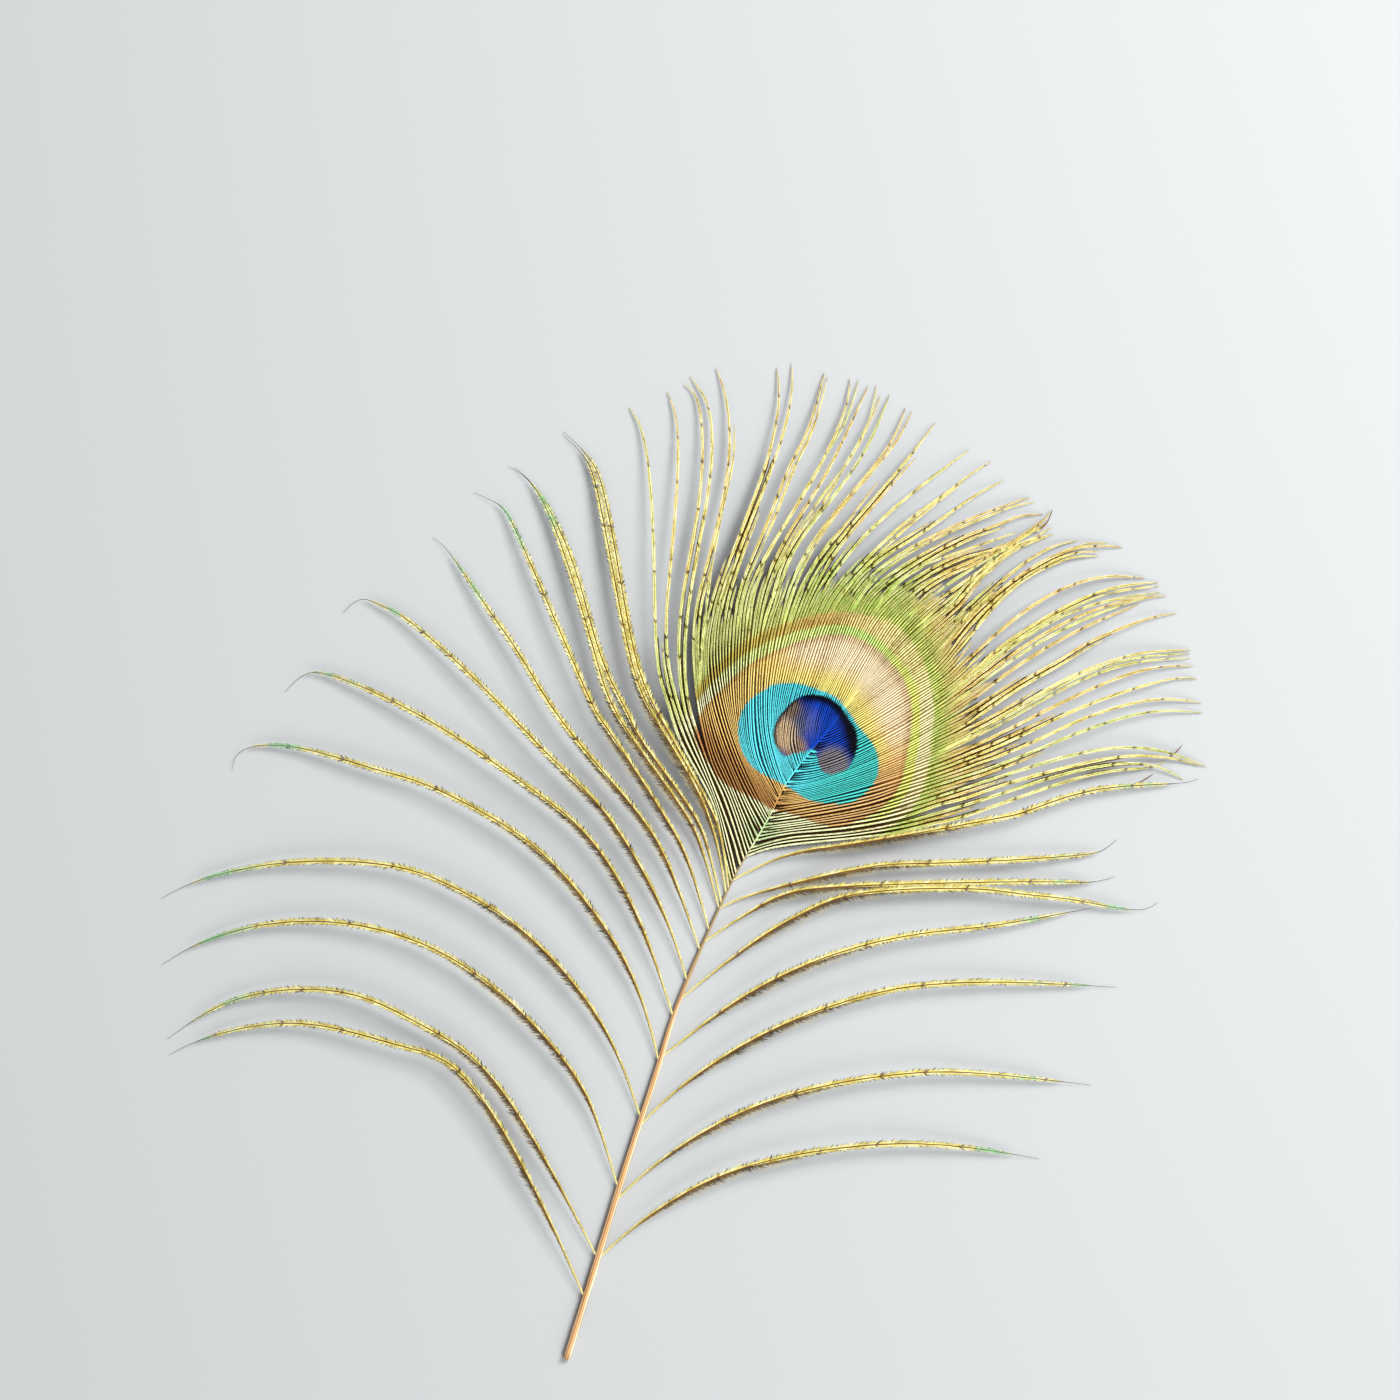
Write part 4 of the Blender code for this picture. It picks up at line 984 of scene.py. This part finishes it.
def downAndGapShadeMaterial():
    # the dark under-barbules and ribbons between the barbs: brown, and in the eye the eye's colour in painted
    # shade
    look = {"Roughness": 0.75, "Metallic": 0.0, "Specular IOR Level": 0.05}
    material, tree, shader = startMaterial("brownDownAndGapShade", look)
    stops = [(0.0, "#140c05"), (0.6, "#2c1c0b"), (1.0, "#4a3416")]
    brown = colourRamp(tree, attributeValue(tree, "glint"), stops)
    ring = attributeValue(tree, "ring")
    # painted gap shade: dark teal in the teal field, dark brown past it, paler at the right and in the oval's
    # pale part
    shade = mixColours(tree, mapValue(tree, ring, 1.9, 2.1), "#083840", "#2c1a06")
    rightSide = between(tree, mapValue(tree, ring, 3.0, 3.3), fromEye(tree, 10, 8.0, 18.0))
    shade = mixColours(tree, rightSide, shade, "#5c5424")
    inOval = between(tree, mapValue(tree, ring, 1.98, 2.2), mapValue(tree, ring, 2.8, 3.0, 1.0, 0.4))
    pale = between(tree, inOval, fromEye(tree, 48, -3.0, 6.0))
    dim = mixColours(tree, 1.0, eyeColour(tree), mixColours(tree, pale, shade, "#b0946a"), "MULTIPLY")
    inEye = mapValue(tree, ring, 4.9, 5.6, 0.9, 0.15)
    colour = mixColours(tree, inEye, brown, dim)
    colour = mixColours(tree, attributeValue(tree, "under"), colour, eyeColours["under"])
    tree.links.new(colour, shader.inputs["Base Color"])
    return material


def looseBarbuleMaterial():
    look = {"Roughness": 0.42, "Metallic": 0.1, "Specular IOR Level": 0.6}
    material, tree, shader = startMaterial("looseBarbules", look)
    glint = attributeValue(tree, "glint")
    share = attributeValue(tree, "share")
    outer = attributeValue(tree, "outer")
    stops = [(0.0, "#5c4a1c"), (0.28, "#ac943c"), (0.55, "#e2d262"), (1.0, "#fdf9bc")]
    bright = colourRamp(tree, glint, stops)
    tipShine = calculate(tree, "MULTIPLY", mapValue(tree, outer, 0.5, 0.95), mapValue(tree, glint, 0.3, 0.7))
    fringe = colourRamp(tree, glint, [(0.0, "#2a1a06"), (0.5, "#544010"), (1.0, "#8a6a20")])
    fringe = mixColours(tree, tipShine, fringe, "#f4e48c")
    colour = mixColours(tree, attributeValue(tree, "row"), fringe, bright)
    patches = mapValue(tree, noise(tree, 5.0), 0.42, 0.58)
    green = between(tree, mapValue(tree, share, 0.78, 0.9), patches, 0.75)
    colour = mixColours(tree, green, colour, "#58c48c")
    colour = mixColours(tree, mapValue(tree, share, 0.94, 1.0), colour, "#5a4018")
    tree.links.new(colour, shader.inputs["Base Color"])
    return material


def looseShaftMaterial():
    material, tree, shader = startMaterial("looseBarbs", {"Roughness": 0.35, "Metallic": 0.0})
    stops = [(0.0, "#f0e6ac"), (0.07, "#d8c470"), (0.16, "#8e5228"), (0.7, "#6e3c1c"), (0.9, "#4a2c14"),
             (1.0, "#180e06")]
    tree.links.new(colourRamp(tree, attributeValue(tree, "share"), stops), shader.inputs["Base Color"])
    return material


def shaftMaterial():
    # lengthwise streaks: the noise is stretched along the shaft
    look = {"Roughness": 0.3, "Metallic": 0.0, "Coat Weight": 0.3, "Coat Roughness": 0.2}
    material, tree, shader = startMaterial("shaftHorn", look)
    across, along = attributeValue(tree, "across"), attributeValue(tree, "along")
    join = tree.nodes.new("ShaderNodeCombineXYZ")
    tree.links.new(calculate(tree, "MULTIPLY", across, 1.3), join.inputs["X"])
    tree.links.new(calculate(tree, "MULTIPLY", along, 0.05), join.inputs["Y"])
    streak = tree.nodes.new("ShaderNodeTexNoise")
    streak.inputs["Scale"].default_value = 2.0
    streak.inputs["Detail"].default_value = 3.0
    tree.links.new(join.outputs["Vector"], streak.inputs["Vector"])
    bend = calculate(tree, "MULTIPLY", calculate(tree, "SUBTRACT", streak.outputs["Fac"], 0.5), 0.3)
    tone = calculate(tree, "ADD", calculate(tree, "ADD", calculate(tree, "MULTIPLY", across, 0.5), 0.5), bend)
    # two pale edges, painted highlights, with brown horn between them
    stops = [(0.0, "#7c441a"), (0.14, "#fff2c8"), (0.3, "#b4742c"), (0.5, "#e8bc80"), (0.62, "#9c5a24"),
             (0.8, "#f0c898"), (0.94, "#5c2a10")]
    colour = colourRamp(tree, tone, stops)
    grey = mapValue(tree, along, 66, 92, 0.0, 0.65)
    colour = mixColours(tree, grey, colour, "#7c7656")
    tree.links.new(colour, shader.inputs["Base Color"])
    return material


denseRows = {
    "pitch": 0.24, "lean": (28, 36), "drop": (-0.16, -0.06), "lift": 0.1, "offset": 0.0,
    "reach": 0.36, "fill": 0.36, "least": 0.05, "ragged": 0.08, "row": 1.0, "grow": [(0.0, 1.0), (1.0, 1.0)],
    "breakWidth": 0.0, "width": 0.62, "thickness": 0.06,
}
outerRows = {
    "pitch": 0.22, "lean": (26, 36), "drop": (-0.16, 0.02), "lift": 0.1, "offset": 0.04,
    "reach": 0.4, "fill": 0.34, "least": 0.12, "ragged": 0.12, "row": 1.0,
    "grow": [(0.0, 1.0), (0.7, 1.0), (0.88, 0.75), (0.97, 0.4), (1.0, 0.1)],
    "breakWidth": 0.4, "width": 0.42, "thickness": 0.07,
}
topRows = dict(denseRows, reach=0.2, lean=(24, 36), lift=0.04)
denseDown = dict(denseRows, pitch=0.6, lean=(45, 65), drop=(-0.3, -0.08), lift=-0.12, reach=0.6, fill=0.62,
                 least=0.3, ragged=0.3, width=0.8)
outerDown = dict(outerRows, pitch=0.5, lean=(30, 60), drop=(-0.35, -0.1), lift=-0.04, reach=0.3, fill=0.5,
                 ragged=0.2, width=0.5, breakWidth=0.0)
brightRows = {
    "pitch": 0.16, "lean": (30, 55), "drop": (-0.2, 0.3), "lift": 0.08, "offset": 0.12,
    "reach": 0.8, "ragged": 0.5, "row": 1.0,
    "grow": [(0.0, 0.25), (0.08, 0.32), (0.2, 0.75), (0.35, 1.0), (0.75, 0.9), (0.9, 0.5), (0.95, 0.0)],
    "breakWidth": 0.3, "width": 0.3, "thickness": 0.08,
}
secondRows = dict(brightRows, reach=0.66,
                  grow=[(0.0, 0.0), (0.38, 0.0), (0.5, 1.0), (0.8, 0.9), (0.9, 0.5), (0.95, 0.0)])
fringeRows = dict(brightRows, pitch=0.1, lean=(34, 62), drop=(-0.2, 0.15), offset=0.1, reach=1.5, ragged=0.45,
                  row=0.0, width=0.2, lift=0.04, breakWidth=0.0,
                  grow=[(0.0, 0.0), (0.09, 0.05), (0.16, 0.5), (0.24, 1.0), (0.42, 0.95), (0.54, 0.5),
                        (0.64, 0.0)])
looseDown = dict(brightRows, pitch=0.3, lean=(35, 65), drop=(-0.4, -0.1), lift=-0.02, reach=0.85, ragged=0.5,
                 row=0.0, width=0.4, breakWidth=0.0,
                 grow=[(0.0, 0.1), (0.12, 0.25), (0.3, 1.0), (0.75, 0.9), (0.9, 0.5), (0.95, 0.0)])
fanRods = {"cuts": 60, "widths": [(0.0, 0.22), (0.5, 0.16), (0.9, 0.12), (1.0, 0.05)],
           "flat": 1.0, "lift": -0.04}
eyeRibbons = {"cuts": 72, "widths": [(0.0, 1.1), (0.8, 1.1), (0.96, 0.2), (1.0, 0.05)], "fill": 0.56,
              "apart": (1.2, 1.7), "slim": 0.12, "flat": 0.1, "lift": -0.14}
looseRods = {"cuts": 90, "widths": [(0.0, 0.36), (0.15, 0.24), (0.7, 0.2), (0.93, 0.14), (1.0, 0.05)],
             "flat": 1.0, "lift": 0.0}


def makeFan():
    barbules, down = eyeBarbuleMaterial(), downAndGapShadeMaterial()
    for side, strands in (("left", fan[:fanTurn]), ("right", fan[fanTurn:])):
        added = [strand for strand in extras if (strand["name"] in leftNames) == (side == "left")]
        rows = {"eye": [], "fan": [], "eye_down": [], "fan_down": []}
        for strand in strands:
            edge, length, first = strand["edge"], strand["length"], strand.get("from", 0.0)
            for way in (1, -1):
                rows["eye"].append(barbuleRow(strand, way, denseRows, max(0.2, first), edge))
                rows["fan"].append(barbuleRow(strand, way, outerRows, edge, length))
                rows["eye_down"].append(barbuleRow(strand, way, denseDown, first + 1, edge + 1))
                rows["fan_down"].append(barbuleRow(strand, way, outerDown, edge + 1, 0.97 * length))
        for strand in added:
            for way in (1, -1):
                rows["fan"].append(barbuleRow(strand, way, outerRows, strand["from"], strand["length"]))
        way = 1 if side == "left" else -1
        rows["eye"] += [barbuleRow(strand, way, topRows, 0.0, strand["length"]) for strand in shaftTop]
        joinRows(f"eye_{side}", rows["eye"], denseRows, barbules)
        joinRows(f"fan_{side}", rows["fan"], outerRows, barbules)
        joinRows(f"eye_down_{side}", rows["eye_down"], denseDown, down)
        joinRows(f"fan_down_{side}", rows["fan_down"], outerDown, down)
    layRods("fan_barbs", fan + extras, fanRods, eyeShaftMaterial())
    # dark flat ribbons under the vane: painted shade in the gaps between the barbs, standing also for their
    # brown lower barbules
    layRods("eye_ribbons", fan, eyeRibbons, down)


# where a loose barb's rows start, and its rows: piece, 1 for the upper side and -1 for the lower, look
looseFrom = 0.8
looseRows = [("barbules", 1, brightRows), ("barbules", -1, secondRows), ("fringe", -1, fringeRows),
             ("down", 1, looseDown), ("down", -1, looseDown)]


def makeLoose():
    barbules, down = looseBarbuleMaterial(), downAndGapShadeMaterial()
    for side, upper in (("left", -1), ("right", 1)):
        rows = {"barbules": [], "fringe": [], "down": []}
        for strand in loose:
            if strand["name"].startswith(side):
                for kind, way, look in looseRows:
                    rows[kind].append(barbuleRow(strand, way * upper, look, looseFrom, strand["length"]))
        joinRows(f"loose_barbules_{side}", rows["barbules"], brightRows, barbules)
        joinRows(f"loose_fringe_{side}", rows["fringe"], fringeRows, barbules)
        joinRows(f"loose_down_{side}", rows["down"], looseDown, down)
    layRods("loose_barbs", loose + hairs, looseRods, looseShaftMaterial())


def shaftFrame(distance):
    # the shaft's place and direction in plan, its underside's height and its width
    over = shaftShape["aimOver"]
    near = np.clip(distance, over, shaftAlong[-1] - over)
    ends = [[np.interp(near + step, shaftAlong, shaftPlan[:, i]) for i in (0, 1)] for step in (-over, over)]
    place = [np.interp(distance, shaftAlong, shaftPlan[:, i]) for i in (0, 1)]
    angle = math.atan2(ends[1][1] - ends[0][1], ends[1][0] - ends[0][0])
    return (place[0], place[1], shaftUnderside(distance)), angle, tableValue(shaftShape["widths"], distance)


def makeShaft():
    # a flat-bottomed round, stood on edge and extruded along the shaft's line, each length turned and slimmed
    look = shaftShape
    bpy.ops.mesh.primitive_circle_add(vertices=look["sides"], radius=0.5 * mm, fill_type="NGON")
    shaft = bpy.context.object
    bpy.ops.object.mode_set(mode="EDIT")
    bpy.ops.transform.rotate(value=math.pi / 2, orient_axis="Y", center_override=(0, 0, 0))
    bpy.ops.transform.resize(value=(1, 1, look["heightShare"]), center_override=(0, 0, 0))
    bpy.ops.transform.translate(value=(0, 0, look["raise"] * mm))
    bpy.ops.mesh.select_all(action="DESELECT")
    bpy.ops.object.mode_set(mode="OBJECT")
    for corner in shaft.data.vertices:
        corner.select = corner.co.z < look["flatBelow"] * mm
    bpy.ops.object.mode_set(mode="EDIT")
    bpy.ops.transform.resize(value=(1, 1, 0), center_override=(0, 0, 0))
    bpy.ops.mesh.select_all(action="SELECT")
    place, angle, width = shaftFrame(0.0)
    bpy.ops.transform.rotate(value=-angle, orient_axis="Z", center_override=(0, 0, 0))
    bpy.ops.transform.resize(value=(width, width, width), center_override=(0, 0, 0))
    bpy.ops.transform.translate(value=[part * mm for part in place])
    for distance in np.linspace(0, shaftAlong[-1], look["pieces"] + 1)[1:]:
        newPlace, newAngle, newWidth = shaftFrame(distance)
        centre = [part * mm for part in newPlace]
        step = [(new - old) * mm for new, old in zip(newPlace, place)]
        slim = newWidth / width
        bpy.ops.mesh.extrude_region_move(TRANSFORM_OT_translate={"value": step})
        bpy.ops.transform.rotate(value=angle - newAngle, orient_axis="Z", center_override=centre)
        bpy.ops.transform.resize(value=(slim, slim, slim), center_override=centre)
        place, angle, width = newPlace, newAngle, newWidth
    bpy.ops.mesh.select_all(action="SELECT")
    bpy.ops.mesh.normals_make_consistent(inside=False)
    bpy.ops.object.mode_set(mode="OBJECT")
    corners, faces = meshArrays(shaft)
    corners = corners / mm
    nearest = [nearestIndex(shaftPlan, corner) for corner in corners]
    left = sideways(shaftPlan)[1][nearest]
    aside = ((corners[:, :2] - shaftPlan[nearest]) * left).sum(axis=1)
    along = shaftAlong[nearest]
    values = {"along": along, "across": aside / (0.5 * tableValue(look["widths"], along))}
    piece = meshPiece("shaft", corners, faces, values, shaftMaterial())
    piece.data.shade_smooth()


stage = {
    "floor": "#bcbebe", "floorSize": 8.0, "floorDrop": 0.2,
    "sky": (0.93, 0.97, 1.0, 1.0), "skyStrength": 0.42,
    "lamps": [("key", (0.55, 0.45, 0.75), 0.5, 11.8), ("fill", (0.5, -0.8, 0.8), 0.9, 8.5)],
    "middle": (3.3, 32.3), "frameWidth": 280.0, "lens": 100.0, "sensor": 36.0,
    "vaneHeight": 2,  # the frame's width is measured at this height
}


def makeStage():
    bpy.ops.mesh.primitive_plane_add(size=stage["floorSize"], location=(0, 0, -stage["floorDrop"] * mm))
    floor = bpy.context.object
    floor.name = "floor"
    look = {"Roughness": 0.8, "Base Color": paint(stage["floor"])}
    floor.data.materials.append(startMaterial("paleFloor", look)[0])
    world = bpy.data.worlds.new("studio")
    world.use_nodes = True
    background = world.node_tree.nodes["Background"]
    background.inputs["Color"].default_value = stage["sky"]
    background.inputs["Strength"].default_value = stage["skyStrength"]
    bpy.context.scene.world = world
    for name, place, size, energy in stage["lamps"]:
        bpy.ops.object.light_add(type="AREA", location=place)
        lamp = bpy.context.object
        lamp.name = name
        lamp.data.size = size
        lamp.data.energy = energy
        lamp.rotation_euler = (-lamp.location.normalized()).to_track_quat("-Z", "Y").to_euler()
    x, y = stage["middle"]
    height = stage["frameWidth"] * stage["lens"] / stage["sensor"] + stage["vaneHeight"]
    bpy.ops.object.camera_add(location=(x * mm, y * mm, height * mm), rotation=(0, 0, 0))
    camera = bpy.context.object
    camera.data.lens = stage["lens"]
    camera.data.sensor_width = stage["sensor"]
    bpy.context.scene.camera = camera


makeShaft()
makeFan()
makeLoose()
makeStage()
bpy.context.scene.view_settings.view_transform = "Standard"
